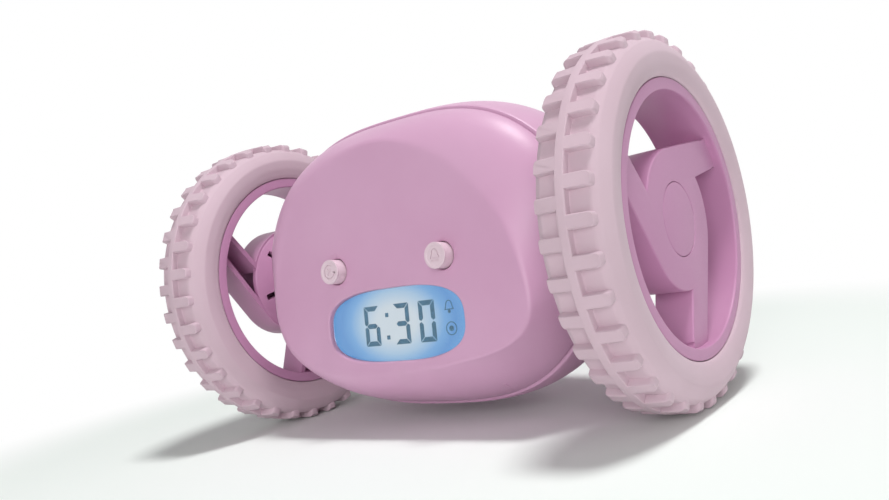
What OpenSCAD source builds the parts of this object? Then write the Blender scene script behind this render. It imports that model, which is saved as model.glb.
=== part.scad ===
// Alarm clock on two big wheels: a barrel body hangs on the wheel axles, with a
// display and two buttons on its flat face, and a geared motor for each wheel.
// +X runs along the axles, -Y is the front, +Z is up and z = 0 is the floor.

/* [Wheels] */
// Radius over the tread blocks
wheel_r = 44.5; // [43:0.25:50]
// Distance from the middle of the clock to the middle of each wheel
wheel_x = 65.4; // [65:0.2:72]
// Widest width of the tyre, over its sidewalls
tyre_w = 17.6; // [16.5:0.2:20]
// Tread blocks along each shoulder
blocks = 34; // [24:2:40]
// Length of one tread block around the tyre
block_len = 3.1; // [2.4:0.1:4]
// Height of the tread blocks above the groove floor
block_h = 1.9; // [1:0.1:3]
// Width of the raised ring between the two rows of blocks
crown_w = 2.2; // [1.4:0.1:3.6]
// Radius of the rim where the tyre's sidewall meets it
rim_r = 33; // [31:0.25:34]
// Width of the rim over its two lips
rim_w = 15.3; // [14:0.1:16]
// Radial width of the flat rim lip
lip_w = 2.9; // [2:0.1:4]
// Thickness of the rim's barrel wall
rim_wall = 1.6; // [1.2:0.1:2]

/* [Swirl spokes] */
// Number of spokes
spokes = 3; // [3:1:4]
// Radius of the hub drum
hub_r = 16.8; // [14:0.2:18]
// Depth of the hub face below the rim lip
hub_recess = 2.1; // [1:0.1:4]
// Depth of the hub drum and of the spokes
hub_depth = 9.5; // [8:0.1:11]
// Width of a spoke where it leaves the hub
spoke_w = 8.9; // [7:0.1:10]
// How much narrower a spoke is at the rim
spoke_taper = 1.1; // [0:0.1:2]
// Wall of the hollow hub and spokes
spoke_wall = 1.5; // [1.2:0.1:2]
// Direction of the first spoke's trailing edge, in degrees above the rear
spoke_turn = -26.3; // [-60:0.1:60]
// Direction of the first tread block on the outer shoulder, in degrees above the rear
tread_turn = 4.9; // [0:0.1:10]
// Radius of the cap over the wheel screw
cap_r = 8.7; // [7:0.1:10]

/* [Barrel body] */
// Largest radius of the barrel
barrel_r = 41; // [40:0.25:42]
// Half length at which the barrel's profile would close
barrel_half = 54.5; // [54:0.25:56]
// Half length over the flat ends
end_x = 53; // [52:0.25:53.5]
// Wall of both case shells
wall = 2; // [1.6:0.1:2.4]
// Distance from the axle to the flat face
face_d = 23.5; // [23:0.1:25]
// How sharply the flat face turns into the barrel
face_blend = 9; // [7:1:16]
// How far the face leans back, in degrees
face_lean = 7.3; // [5:0.1:9]
// Distance of the seam between the shells in front of the axle
seam_y = 10; // [9:0.25:11]
// Open width of the seam
seam_gap = 0.3; // [0.2:0.05:0.5]

/* [Face] */
// Half width of the display window
window_hw = 23.2; // [22:0.1:24]
// Half height of the display window
window_hh = 9.4; // [9:0.1:10]
// Middle of the window below the axle, along the face
window_z = -17.6; // [-18:0.1:-17]
// Half distance between the two front buttons
button_x = 18.5; // [17:0.1:20]
// Height of the front buttons relative to the axle, along the face
button_z = -1.8; // [-3:0.1:0]
// Radius of a front button
button_r = 3.3; // [3:0.05:3.8]
// How far a front button stands out of the face
button_out = 3; // [2:0.1:3.5]
// Travel of every push button
travel = 0.8; // [0.4:0.1:1]

/* [Drive] */
// Radius of the wheel axle
axle_r = 2; // [1.5:0.1:2.5]
// Gear module
gear_m = 0.5; // [0.5:0.01:0.52]
// Teeth of the two large gears
big_teeth = 40; // [36:4:40]
// Teeth of the two small gears
small_teeth = 10; // [10:2:12]
// Width of a gear
gear_w = 2.6; // [2:0.1:3]
// Radius of a motor can
motor_r = 10; // [9:0.1:10.4]
// Length of a motor can
motor_len = 25; // [20:0.5:26]
// Distance from the middle of the clock to a motor's gear side
motor_x = 31; // [30:0.25:32]
// Thickness of the plate that carries the motor and the gears
plate_t = 2; // [1.6:0.1:2.4]
// Direction from the axle to the motor, in degrees above the rear
motor_dir = -124; // [-132:1:-120]
// Distance from the axle to the motor
motor_dist = 14.9; // [14.4:0.1:15.4]

/* [Battery case] */
// Radius of a cell
cell_r = 5.25; // [5.1:0.05:5.3]
// Length of a cell
cell_len = 44.5; // [43:0.1:45]
// Number of cells
cells = 4; // [2:1:4]
// Direction from the axle to the middle of the battery door
door_dir = -77; // [-78:0.5:-73]
// Half of the arc that the door covers, in degrees
door_half = 23; // [22:0.5:24]
// Half length of the door
door_hx = 25.5; // [25:0.25:26.5]

/* [Hidden] */

body_colour = "#c79ab8";
rim_colour = "#b983a8";
tyre_colour = "#c3acb6";
button_colour = "#d7bfcd";
far = 200;                  // longer than any cut
slip = 0.15;                // clearance of fitted parts
run = 0.05;                 // radial clearance of a turning shaft
round_fn = 96;

// ---- placing ----

// Turns a shape drawn in X and Y, and raised along Z, to lie along the axles.
module along_x() {
    rotate([90, 0, 90]) children();
}

module at_axle() {
    translate([0, 0, wheel_r]) children();
}

// The frame of the leaning face: its Y runs square to the face.
module on_face() {
    at_axle() rotate([-face_lean, 0, 0]) children();
}

// Raises a flat shape from y = back towards the front, by depth.
module face_slab(front, depth) {
    translate([0, front + depth, 0]) rotate([90, 0, 0]) linear_extrude(depth) children();
}

// A round rod along Y, from y = front back by depth.
module y_rod(r, front, depth) {
    translate([0, front, 0]) rotate([-90, 0, 0]) cylinder(r = r, h = depth, $fn = 48);
}

module slab(y_from, y_to) {
    translate([-far / 2, y_from, -far / 2]) cube([far, y_to - y_from, far]);
}

module round_box(w, h, r) {
    square([w, h - 2 * r], center = true);
    square([w - 2 * r, h], center = true);
    for (sx = [-1, 1], sz = [-1, 1])
        translate([sx * (w / 2 - r), sz * (h / 2 - r)]) circle(r, $fn = 32);
}

// ---- barrel body ----

// Radius of the barrel at x, a wall's depth below its surface.
function barrel(x, depth = 0) =
    (barrel_r - depth) * sqrt(1 - pow(abs(x) / (barrel_half - depth), 4));

// Radius of the body with its flat face; a is the angle from square to the face.
function body_radius(x, a, depth) =
    pow(pow(barrel(x, depth), -face_blend)
        + pow(max(cos(a), 0) / (face_d - depth), face_blend), -1 / face_blend);

// Solid of revolution of the barrel, as deep below its surface as depth says.
module barrel_solid(depth = 0, half = end_x) {
    bands = 14;
    stations = [for (i = [-bands:bands]) half * sin(90 * i / bands)];
    at_axle() along_x() rotate_extrude($fn = round_fn)
        polygon(concat([[0, -half]], [for (x = stations) [barrel(x, depth), x]], [[0, half]]));
}

// A piece of the barrel's wall between two depths and two directions.
module barrel_arc(depth_out, depth_in, half, dir_from, dir_to) {
    bands = 6;
    stations = [for (i = [-bands:bands]) half * i / bands];
    outline = concat([for (x = stations) [barrel(x, depth_out), x]],
        [for (i = [bands:-1:-bands]) [barrel(half * i / bands, depth_in), half * i / bands]]);
    at_axle() along_x() rotate([0, 0, dir_from])
        rotate_extrude(angle = dir_to - dir_from, $fn = round_fn) polygon(outline);
}

// Skin of the body with its flat face blended in, closed at the back by a few broad faces
// that the seam cuts away.
module face_skin(depth, rings, steps) {
    half = end_x - depth;
    angles = concat([for (j = [0:steps]) 96 * (2 * j / steps - 1)], [140, 180, 220]);
    n = len(angles);
    points = [for (i = [-rings:rings]) let (x = half * sin(90 * i / rings)) for (a = angles)
        let (r = body_radius(x, a, depth)) [x, -r * cos(a), r * sin(a)]];
    sides = [for (i = [0:2 * rings - 1], j = [0:n - 1]) let (k = (j + 1) % n)
        [i * n + j, i * n + k, (i + 1) * n + k, (i + 1) * n + j]];
    ends = [[for (j = [n - 1:-1:0]) j], [for (j = [0:n - 1]) 2 * rings * n + j]];
    on_face() polyhedron(points, concat(sides, ends), convexity = 4);
}

function window_outline(grow) = [for (i = [0:63]) let (a = 360 * i / 64, c = cos(a), s = sin(a))
    [sign(c) * pow(abs(c), 2 / window_bow) * (window_hw + grow),
     sign(s) * pow(abs(s), 2 / window_bow) * (window_hh + grow)]];
window_bow = 2.9;           // exponent of the window's bowed outline
window_front = 1.2;         // depth of the window below the face
window_flange = 1.3;        // width of the flange that holds it from behind
window_seat = -(face_d - wall) - 0.05;
flange_t = 0.8;

module window_shape(grow) {
    translate([0, window_z]) polygon(window_outline(grow));
}

// Places of the four posts that carry the main board, on the face.
board_w = 62;
board_top = barrel_r - 17;
board_bottom = 11.5 - barrel_r;
board_t = 1.6;
board_front = -17.4;
post_r = 2.6;
pilot_r = 0.85;
posts = [for (sx = [-1, 1]) [sx * (board_w / 2 - 4), board_top - 4],
    for (sx = [-1, 1]) [sx * (board_w / 2 - 2.5), board_bottom + 4.5]];

// Places of the four screws that join the shells, as x and height above the axle.
joins = [for (sx = [-1, 1]) [sx * (end_x - 13), barrel_r - 24],
    for (sx = [-1, 1]) [sx * (end_x - 16), 14 - barrel_r]];
join_r = 3.6;
join_hole_r = 1.3;
join_seat = -seam_y + 9;   // where the heads of the case screws seat, in deep wells

module front_shell() {
    color(body_colour)
    difference() {
        intersection() {
            face_skin(0, 16, 32);
            slab(-far / 2, -seam_y);
        }
        difference() {
            face_skin(wall, 10, 22);
            on_face() for (p = posts)
                translate([p[0], 0, p[1]]) y_rod(post_r, -face_d, face_d + board_front);
            at_axle() for (p = joins)
                translate([p[0], 0, p[1]]) y_rod(join_r, -barrel_r, barrel_r - seam_y);
        }
        on_face() {
            face_slab(-face_d - 1, wall + 2) window_shape(slip);
            face_slab(window_seat, flange_t + 3) window_shape(window_flange + slip);
            for (sx = [-1, 1])
                translate([sx * button_x, 0, button_z]) y_rod(button_r + slip, -face_d - 1, wall + 2);
            for (p = posts) translate([p[0], 0, p[1]]) y_rod(pilot_r, board_front - 4, 8);
        }
        at_axle() for (p = joins) translate([p[0], 0, p[1]]) y_rod(join_hole_r - 0.4, -seam_y - 5, 8);
    }
}

lip_clear = 0.55;           // clearance between the tongue and the front shell's wall
lip_t = 1.7;                // clearance and thickness of the tongue that enters the front shell
lip_out = 1.2;              // how far the tongue reaches past the seam
rib_t = 1.2;                // thickness of the ribs that hold the motor plates
plate_r = barrel(motor_x + plate_t, wall + lip_t) - 0.4;
rear_button_z = 8;
rear_buttons = [-18, -6, 6, 18];
rear_button_r = 2.6;
rear_flange = 0.5;          // how far the flange stands out round a rear button
rear_flange_t = 0.6;
switch_h = 1.6;             // height of a push switch above its board
switch_w = 6;
stem_slack = 0.1;           // gap that is left below a fully pressed button
rear_reach = rear_button_r + rear_flange;
rear_board_y = sqrt(pow(barrel(rear_buttons[3] + rear_reach, wall), 2)
        - pow(rear_button_z + rear_reach, 2))
    - slip - rear_flange_t - stem_slack - travel - switch_h - board_t;
slide_z = -8;
slide_travel = 3;
door_gap = 0.25;
beeper_r = 7;
screw_head_r = 2.4;
sound_z = barrel_r - 24;    // lowest row of the sound holes above the axle
rear_post_x = 24;
rear_posts = [[-rear_post_x, rear_button_z], [rear_post_x, rear_button_z]];
rear_post_r = 2.4;

module ring_rib(x_from, x_to) {
    at_axle() along_x() translate([0, 0, x_from]) difference() {
        cylinder(r = barrel(x_from, wall) + 0.8, h = x_to - x_from, $fn = round_fn);
        translate([0, 0, -1]) cylinder(r = plate_r - 2.2, h = x_to - x_from + 2, $fn = round_fn);
    }
}

module rear_shell() {
    color(body_colour)
    difference() {
        union() {
            difference() {
                intersection() {
                    barrel_solid(0);
                    slab(-seam_y + seam_gap, far / 2);
                }
                difference() {
                    barrel_solid(wall, end_x - wall);
                    for (side = [-1, 1]) mirror([side < 0 ? 1 : 0, 0, 0]) {
                        ring_rib(motor_x - slip - rib_t, motor_x - slip);
                        ring_rib(motor_x + plate_t + slip, motor_x + plate_t + slip + rib_t);
                        bush_boss();
                    }
                    at_axle() for (p = joins)
                        translate([p[0], 0, p[1]]) y_rod(join_r, -seam_y, 2 * barrel_r);
                    at_axle() for (p = rear_posts) translate([p[0], 0, p[1]])
                        y_rod(rear_post_r, rear_board_y + board_t, barrel_r);
                }
            }
            shell_tongue();
        }
        door_opening();
        at_axle() {
            for (p = joins) translate([p[0], 0, p[1]]) {
                y_rod(join_hole_r, -seam_y - 5, far);
                y_rod(screw_head_r + 0.2, join_seat, far);
            }
            for (x = rear_buttons)
                translate([x, 0, rear_button_z]) y_rod(rear_button_r + slip, rear_board_y, far);
            for (p = rear_posts) translate([p[0], 0, p[1]]) y_rod(pilot_r, rear_board_y - 1, 5);
            translate([-slide_travel / 2 - 2.3, rear_board_y, slide_z - 1.8])
                cube([slide_travel + 4.6, far, 3.6]);
            for (i = [-2:2], j = [0:2 - abs(i) % 2])
                translate([3.4 * i, 0, sound_z + 3.4 * (j + abs(i) % 2 / 2)]) y_rod(0.8, 0, far);
            along_x() translate([0, 0, -far / 2]) cylinder(r = bush_r + slip / 2, h = far, $fn = 64);
        }
    }
}

module shell_tongue() {
    difference() {
        union() {
            intersection() {
                difference() {
                    barrel_solid(wall + lip_clear, end_x - wall - 3);
                    barrel_solid(wall + lip_t, end_x - wall - 2);
                }
                slab(-seam_y - lip_out, -seam_y + 2.4);
            }
            intersection() {
                difference() {
                    barrel_solid(wall - 0.5, end_x - wall - 3);
                    barrel_solid(wall + lip_t, end_x - wall - 2);
                }
                slab(-seam_y + seam_gap + 0.1, -seam_y + 2.4);
            }
        }
        translate([-door_hx - 3, -far / 2, -far]) cube([2 * door_hx + 6, far, far + wheel_r]);
        at_axle() for (p = joins)
            translate([p[0], 0, p[1]]) y_rod(join_r + 0.4, -barrel_r, barrel_r - seam_y);
    }
}

module door_opening() {
    barrel_arc(-1, wall + 1, door_hx, door_dir - door_half, door_dir + door_half);
}

// ---- face parts ----

module display_window() {
    color("#9cc4e2", 0.5)
    on_face() {
        face_slab(-face_d + window_front, face_d - window_front + window_seat + flange_t) window_shape(0);
        face_slab(window_seat + 0.05, flange_t - 0.05) window_shape(window_flange);
    }
}

lcd_front = window_seat + 0.05 + flange_t;
lcd_t = 1.8;
lit_h = 17;                 // lit part of the display
lit_w = 42;

module lcd_panel() {
    color("#7fb2dc")
    on_face() face_slab(lcd_front, lcd_t) window_shape(window_flange - slip);
}

module backlight_block() {
    color("#eef3f6")
    on_face() face_slab(lcd_front + lcd_t + 0.05, board_front - lcd_front - lcd_t - 0.1)
        translate([0, window_z]) round_box(lit_w + 2, lit_h + 1, 1);
}

module main_board() {
    color("#2f6b45")
    on_face() difference() {
        face_slab(board_front, board_t) translate([0, (board_top + board_bottom) / 2])
            round_box(board_w, board_top - board_bottom, 2);
        for (p = posts) translate([p[0], 0, p[1]]) y_rod(1.1, board_front - 1, 4);
    }
}

module front_switches() {
    color("#33363a")
    on_face() for (sx = [-1, 1]) translate([sx * button_x, board_front - switch_h / 2, button_z])
        cube([switch_w, switch_h, switch_w], center = true);
}

// Cap, stem and retaining flange of one front button.
module front_button(x) {
    flange_y = -face_d + wall + 0.1;
    color(button_colour)
    on_face() translate([x, 0, button_z]) {
        y_rod(button_r, -face_d - button_out, button_out + wall + 0.6);
        y_rod(button_r + 1, flange_y, 1);
        y_rod(1.4, flange_y, board_front - switch_h - travel - stem_slack - flange_y);
    }
}

module snooze_button() {
    front_button(-button_x);
}

module alarm_button() {
    front_button(button_x);
}

// ---- rear parts ----

beeper_z = 14;
beeper_h = 5;

module beeper() {
    color("#2b2b2e")
    on_face() translate([0, 0, beeper_z]) {
        y_rod(beeper_r, board_front + board_t, beeper_h);
        y_rod(1.6, board_front + board_t + beeper_h - 0.1, 0.6);
    }
}

module rear_board() {
    color("#2f6b45")
    at_axle() difference() {
        face_slab(rear_board_y, board_t) union() {
            translate([0, rear_button_z]) round_box(2 * rear_post_x + 7, 8, 2);
            translate([0, (slide_z - 4 + rear_button_z) / 2])
                round_box(16, rear_button_z - slide_z + 4, 2);
        }
        for (p = rear_posts) translate([p[0], 0, p[1]]) y_rod(1.1, rear_board_y - 1, 4);
    }
}

module rear_switches() {
    color("#33363a")
    at_axle() for (x = rear_buttons) translate([x, rear_board_y + board_t, rear_button_z])
        translate([-switch_w / 2, 0, -switch_w / 2]) cube([switch_w, switch_h, switch_w]);
}

module rear_button(x) {
    stem_y = rear_board_y + board_t + switch_h + travel + stem_slack;
    cap_y = sqrt(pow(barrel(x), 2) - pow(rear_button_z, 2)) + 0.9;
    color(button_colour)
    at_axle() translate([x, 0, rear_button_z]) {
        y_rod(rear_button_r, stem_y, cap_y - stem_y);
        y_rod(rear_reach, stem_y, rear_flange_t);
    }
}

module hour_button() {
    rear_button(rear_buttons[0]);
}

module minute_button() {
    rear_button(rear_buttons[1]);
}

module time_button() {
    rear_button(rear_buttons[2]);
}

module alarm_set_button() {
    rear_button(rear_buttons[3]);
}

module slide_switch_case() {
    color("#9a9da2")
    at_axle() difference() {
        translate([-5.5, rear_board_y + board_t, slide_z - 3]) cube([11, 2.6, 6]);
        translate([-slide_travel / 2 - 1.4, rear_board_y + board_t + 0.8, slide_z - 1.15])
            cube([slide_travel + 2.8, 3, 2.3]);
    }
}

module slide_switch_knob() {
    foot_y = rear_board_y + board_t + 0.95;
    knob_y = rear_board_y + board_t + 2.8;
    top_y = sqrt(barrel_r * barrel_r - slide_z * slide_z) - 0.4;
    color("#33363a")
    at_axle() {
        translate([-slide_travel / 2 - 1.2, foot_y, slide_z - 1]) cube([2.4, top_y - foot_y, 2]);
        translate([-slide_travel / 2 - 2, knob_y, slide_z - 1.5]) cube([4, top_y - knob_y, 3]);
    }
}

// ---- battery case ----

spring_room = 3.6;          // room at each end of a cell for its contact and the tray's end
cell_clear = 0.2;           // clearance between the cells and the inside of the shell
tray_half = cell_len / 2 + spring_room;
cell_dist = barrel(tray_half, wall) - cell_clear - cell_r;
cell_pitch = 2 * asin((cell_r + 0.1) / cell_dist);
function cell_angle(i) = door_dir + cell_pitch * (i - (cells - 1) / 2);
tray_in = cell_dist - cell_r - 0.4 - 1.2;
tray_arc = cell_pitch * cells / 2 + 1.5;

module battery_tray() {
    tray_out = barrel(tray_half, wall) - 2 * slip;
    base = 1.2;
    outline = [[tray_in, -tray_half], [tray_out, -tray_half], [tray_out, -tray_half + base],
        [tray_in + base, -tray_half + base], [tray_in + base, tray_half - base],
        [tray_out, tray_half - base], [tray_out, tray_half], [tray_in, tray_half]];
    color("#d9c3cf")
    at_axle() along_x() rotate([0, 0, door_dir - tray_arc])
        rotate_extrude(angle = 2 * tray_arc, $fn = round_fn) polygon(outline);
}

module at_cell(i) {
    at_axle() rotate([cell_angle(i), 0, 0]) translate([0, cell_dist, 0]) children();
}

module battery_cells() {
    color("#4a4d52")
    for (i = [0:cells - 1]) at_cell(i) mirror([i % 2, 0, 0]) rotate([0, 90, 0]) {
        translate([0, 0, -cell_len / 2]) cylinder(r = cell_r, h = cell_len - 1, $fn = 48);
        cylinder(r = 1.9, h = cell_len / 2, $fn = 32);
    }
}

contact_t = 0.4;
contact_w = 7;
contact_h = 8;

module battery_contacts() {
    gap = tray_half - 1.2 - cell_len / 2;
    color("#c9ccd0")
    for (i = [0:cells - 1], side = [-1, 1]) at_cell(i) mirror([side < 0 ? 1 : 0, 0, 0]) {
        translate([tray_half - 1.25 - contact_t, -contact_w / 2, -contact_h / 2])
            cube([contact_t, contact_w, contact_h]);
        rotate([0, 90, 0]) translate([0, 0, cell_len / 2 + 0.05])
            cylinder(r1 = 1.7, r2 = 3.2, h = gap - 0.4, $fn = 32);
    }
}

grip_half = 7;              // half length of the three grip ribs on the door

module battery_door() {
    edge = asin(door_gap / barrel_r);
    color(body_colour)
    union() {
        barrel_arc(0, wall - 0.2, door_hx - door_gap,
            door_dir - door_half + edge, door_dir + door_half - edge);
        for (i = [-1:1]) let (dir = door_dir + door_half - 8 + 2.4 * i)
            barrel_arc(-0.35, 0.5, grip_half, dir - 0.5, dir + 0.5);
    }
}

// ---- screws ----

module screw(r, head_r, head_h, len) {
    y_rod(head_r, -head_h, head_h);
    translate([0, -len - head_h, 0]) y_rod(r, 0, len);
}

module board_screws() {
    head_h = 1.2;
    color("#b9bcc2") {
        on_face() for (p = posts) translate([p[0], board_front + board_t + 0.05 + head_h, p[1]])
            screw(pilot_r - 0.03, 1.9, head_h, 5);
        at_axle() for (p = rear_posts)
            translate([p[0], rear_board_y - 0.05 - head_h, p[1]]) mirror([0, 1, 0])
                screw(pilot_r - 0.03, 1.9, head_h, 3.8);
    }
}

module case_screws() {
    color("#b9bcc2")
    at_axle() for (p = joins) {
        head_h = 1.6;
        translate([p[0], join_seat + 0.05 + head_h, p[1]])
            screw(join_hole_r - 0.43, screw_head_r, head_h, join_seat + seam_y + 4.5);
    }
}

// ---- drive ----

pitch_big = gear_m * big_teeth / 2;
pitch_small = gear_m * small_teeth / 2;
gear_reach = pitch_big + pitch_small;
idler_lift = acos(motor_dist / 2 / gear_reach);
idler_dir = motor_dir + idler_lift;
motor_at = [motor_dist * cos(motor_dir), motor_dist * sin(motor_dir)];
idler_at = [gear_reach * cos(idler_dir), gear_reach * sin(idler_dir)];
to_motor = atan2(motor_at[1] - idler_at[1], motor_at[0] - idler_at[0]);
gear_x = motor_x + plate_t + slip + rib_t + 0.4;
row_two = gear_x + gear_w + 0.4;
bush_r = 4;
bush_len = 7;

// A spur gear's outline, with one tooth centred on the direction first_tooth.
module gear_outline(teeth, first_tooth) {
    step = 360 / teeth;
    r_root = gear_m * (teeth / 2 - 1.25);
    r_pitch = gear_m * teeth / 2;
    r_tip = gear_m * (teeth / 2 + 0.95);
    corners = [[-0.31, r_root], [-0.215, r_pitch], [-0.1, r_tip],
        [0.1, r_tip], [0.215, r_pitch], [0.31, r_root]];
    polygon([for (k = [0:teeth - 1], c = corners)
        let (a = first_tooth + step * (k + c[0])) [c[1] * cos(a), c[1] * sin(a)]]);
}

module gear(teeth, first_tooth, width, bore_r) {
    linear_extrude(width) difference() {
        gear_outline(teeth, first_tooth);
        circle(bore_r, $fn = 48);
    }
}

module along_axle(x, yz = [0, 0]) {
    at_axle() along_x() translate([yz[0], yz[1], x]) children();
}

plate_front = seam_y + 5;   // reach of the motor plate in front of the axle
plate_back = 14;

module motor_plate() {
    color("#e3ddd8") {
        along_axle(motor_x) linear_extrude(plate_t) difference() {
            intersection() {
                circle(plate_r, $fn = round_fn);
                translate([-plate_front, -far / 2]) square([plate_front + plate_back, far]);
            }
            circle(axle_r + run, $fn = 48);
            translate(motor_at) circle(3.1, $fn = 48);
            for (a = [90, 270]) translate(motor_at + 8 * [cos(a), sin(a)]) circle(1.1, $fn = 32);
        }
        along_axle(motor_x + plate_t - 0.01, idler_at)
            cylinder(r = 1, h = row_two + gear_w + 0.6 - motor_x - plate_t, $fn = 32);
    }
}

module motor() {
    color("#b9bcc2")
    difference() {
        union() {
            along_axle(motor_x - 0.05 - motor_len, motor_at) linear_extrude(motor_len) intersection() {
                circle(motor_r, $fn = 64);
                square([1.5 * motor_r, 2 * motor_r], center = true);
            }
            along_axle(motor_x - 0.1, motor_at) cylinder(r = 3, h = 1.6, $fn = 48);
            along_axle(motor_x - 0.05 - motor_len - 1.2, motor_at) cylinder(r = 4, h = 1.3, $fn = 48);
        }
        along_axle(motor_x - 2, motor_at) cylinder(r = 1 + run, h = 5, $fn = 32);
    }
}

module motor_pinion() {
    color("#c9a24a") {
        along_axle(gear_x, motor_at) gear(small_teeth, to_motor + 180 + 180 / small_teeth, gear_w, 0.5);
        along_axle(motor_x - 1.8, motor_at) cylinder(r = 1, h = gear_x + gear_w - motor_x + 2.2, $fn = 32);
    }
}

module idler_gear() {
    color("#ece9e2") {
        along_axle(gear_x, idler_at) gear(big_teeth, to_motor, gear_w, 1 + run);
        along_axle(gear_x + gear_w - 0.01, idler_at)
            gear(small_teeth, idler_dir + 180 + 180 / small_teeth, row_two - gear_x, 1 + run);
    }
}

module axle_gear() {
    color("#ece9e2")
    along_axle(row_two) {
        gear(big_teeth, idler_dir, gear_w, axle_r + 0.01);
        translate([0, 0, gear_w - 0.01]) difference() {
            cylinder(r = 4, h = 2, $fn = 48);
            translate([0, 0, -1]) cylinder(r = axle_r + 0.01, h = 4, $fn = 48);
        }
    }
}

// Boss inside the rear shell that carries the axle bush.
module bush_boss() {
    along_axle(end_x - bush_len) cylinder(r = bush_r + 2, h = bush_len, $fn = 64);
}

module bush() {
    color("#d8b56a")
    along_axle(0) difference() {
        union() {
            translate([0, 0, end_x - bush_len]) cylinder(r = bush_r, h = bush_len + 0.5, $fn = 64);
            translate([0, 0, end_x + 0.1]) cylinder(r = bush_r + 1.6, h = 1, $fn = 64);
        }
        translate([0, 0, end_x - bush_len - 1]) cylinder(r = axle_r + run, h = bush_len + 4, $fn = 48);
    }
}

face_x = wheel_x + rim_w / 2 - hub_recess;
axle_end = face_x - 5;
head_r = 2.2;               // head of the wheel screw under the hub cap
head_h = 0.85;

module axle() {
    color("#c4c7cb")
    difference() {
        along_axle(motor_x - 1.5) cylinder(r = axle_r, h = axle_end - motor_x + 1.5, $fn = 48);
        along_axle(axle_end - 6) cylinder(r = 0.8, h = 8, $fn = 24);
    }
}

// ---- wheel ----

// Hub disc with its tangent spokes, drawn smaller by inset on every side.
module swirl(inset) {
    reach = rim_r - lip_w + rim_wall / 2;
    run_out = sqrt(reach * reach - hub_r * hub_r);
    circle(hub_r - inset, $fn = round_fn);
    intersection() {
        circle(inset > 0 ? rim_r - lip_w : reach, $fn = round_fn);
        for (k = [0:spokes - 1]) rotate(spoke_turn + k * 360 / spokes)
            polygon([[hub_r - inset, 0], [hub_r - inset, -run_out - 4],
                [hub_r - spoke_w + spoke_taper + inset, -run_out - 4],
                [hub_r - spoke_w + inset, -sqrt(hub_r * hub_r - pow(hub_r - spoke_w, 2)) + 3]]);
    }
}

module rim() {
    well_r = rim_r - 1.3;
    flange_w = 1.4;
    bore = rim_r - lip_w;
    half = rim_w / 2;
    cone_r = 7;
    cone_len = 4.2;
    color(rim_colour)
    translate([wheel_x, 0, 0]) at_axle() along_x() difference() {
        union() {
            rotate_extrude($fn = round_fn) polygon([[bore, -half], [rim_r - 0.1, -half],
                [rim_r - 0.1, -half + flange_w], [well_r, -half + flange_w + 0.8],
                [well_r, half - flange_w - 0.8], [rim_r - 0.1, half - flange_w],
                [rim_r - 0.1, half], [bore, half], [bore - 0.1, half - 0.4],
                [bore - 0.1, -half + 0.4]]);
            difference() {
                translate([0, 0, half - hub_recess - hub_depth]) linear_extrude(hub_depth) swirl(0);
                translate([0, 0, half - hub_recess - hub_depth - 1])
                    linear_extrude(hub_depth + 1 - spoke_wall) swirl(spoke_wall);
            }
            translate([0, 0, half - hub_recess - hub_depth]) hub_back(cone_r, cone_len);
        }
        translate([0, 0, half - hub_recess - 1.2]) cylinder(r = cap_r + 0.12, h = 3, $fn = 64);
        translate([0, 0, half - hub_recess - 1.3 - head_h]) cylinder(r = head_r + slip, h = 3, $fn = 48);
        translate([0, 0, -half - 10])
            cylinder(r = axle_r + 0.01, h = half + 10 + axle_end - wheel_x, $fn = 48);
        translate([0, 0, axle_end - wheel_x - 0.1]) cylinder(r = 1.3, h = 10, $fn = 32);
    }
}

// Slotted cone that closes the hub towards the body, and the boss that holds the axle.
module hub_back(cone_r, cone_len) {
    difference() {
        rotate_extrude($fn = round_fn) polygon([[0, -cone_len], [cone_r, -cone_len],
            [hub_r - 0.5, 0], [hub_r - 0.5, 1.4], [hub_r - 1.6, 1.4],
            [cone_r, -cone_len + 2], [0, -cone_len + 2]]);
        for (k = [0:5]) rotate(60 * k + 15) translate([cone_r + 2.2, -0.9, -cone_len - 1])
            cube([hub_r - cone_r - 4.8, 1.8, cone_len + 6]);
    }
    translate([0, 0, -cone_len]) cylinder(r = 4.6, h = hub_depth + cone_len - 0.6, $fn = 64);
}

tread_r = wheel_r - block_h;
shoulder_u = 4.66;          // half width over which the blocks reach full height
block_out = 6.6;            // half width to the blocks' outer ends

// Carcass, crown ring and the two staggered rows of blocks.
module tyre() {
    half = tyre_w / 2;
    bead = rim_w / 2;
    well_r = rim_r - 1.2;
    color(tyre_colour)
    translate([wheel_x, 0, 0]) at_axle() along_x() {
        rotate_extrude($fn = 2 * round_fn) polygon([
            [well_r, -bead + 2.3], [rim_r, -bead + 1.4], [rim_r, -bead], [rim_r + 0.8, -bead - 0.5],
            [rim_r + 3, -half + 0.1], [rim_r + 5.6, -half], [rim_r + 7, -half + 0.7],
            [tread_r - 1.2, -half + 1.6], [tread_r - 0.1, -shoulder_u - 1.2], [tread_r, -shoulder_u],
            [tread_r, -crown_w / 2], [wheel_r - 0.3, -crown_w / 2], [wheel_r, -crown_w / 2 + 0.3],
            [wheel_r, crown_w / 2 - 0.3], [wheel_r - 0.3, crown_w / 2], [tread_r, crown_w / 2],
            [tread_r, shoulder_u], [tread_r - 0.1, shoulder_u + 1.2], [tread_r - 1.2, half - 1.6],
            [rim_r + 7, half - 0.7], [rim_r + 5.6, half], [rim_r + 3, half - 0.1], [rim_r + 0.8, bead + 0.5],
            [rim_r, bead], [rim_r, bead - 1.4], [well_r, bead - 2.3]]);
        for (k = [0:blocks - 1]) {
            rotate(tread_turn + 360 * k / blocks) tread_block();
            rotate(tread_turn + 360 * (k + 0.5) / blocks) mirror([0, 0, 1]) tread_block();
        }
    }
}

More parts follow.
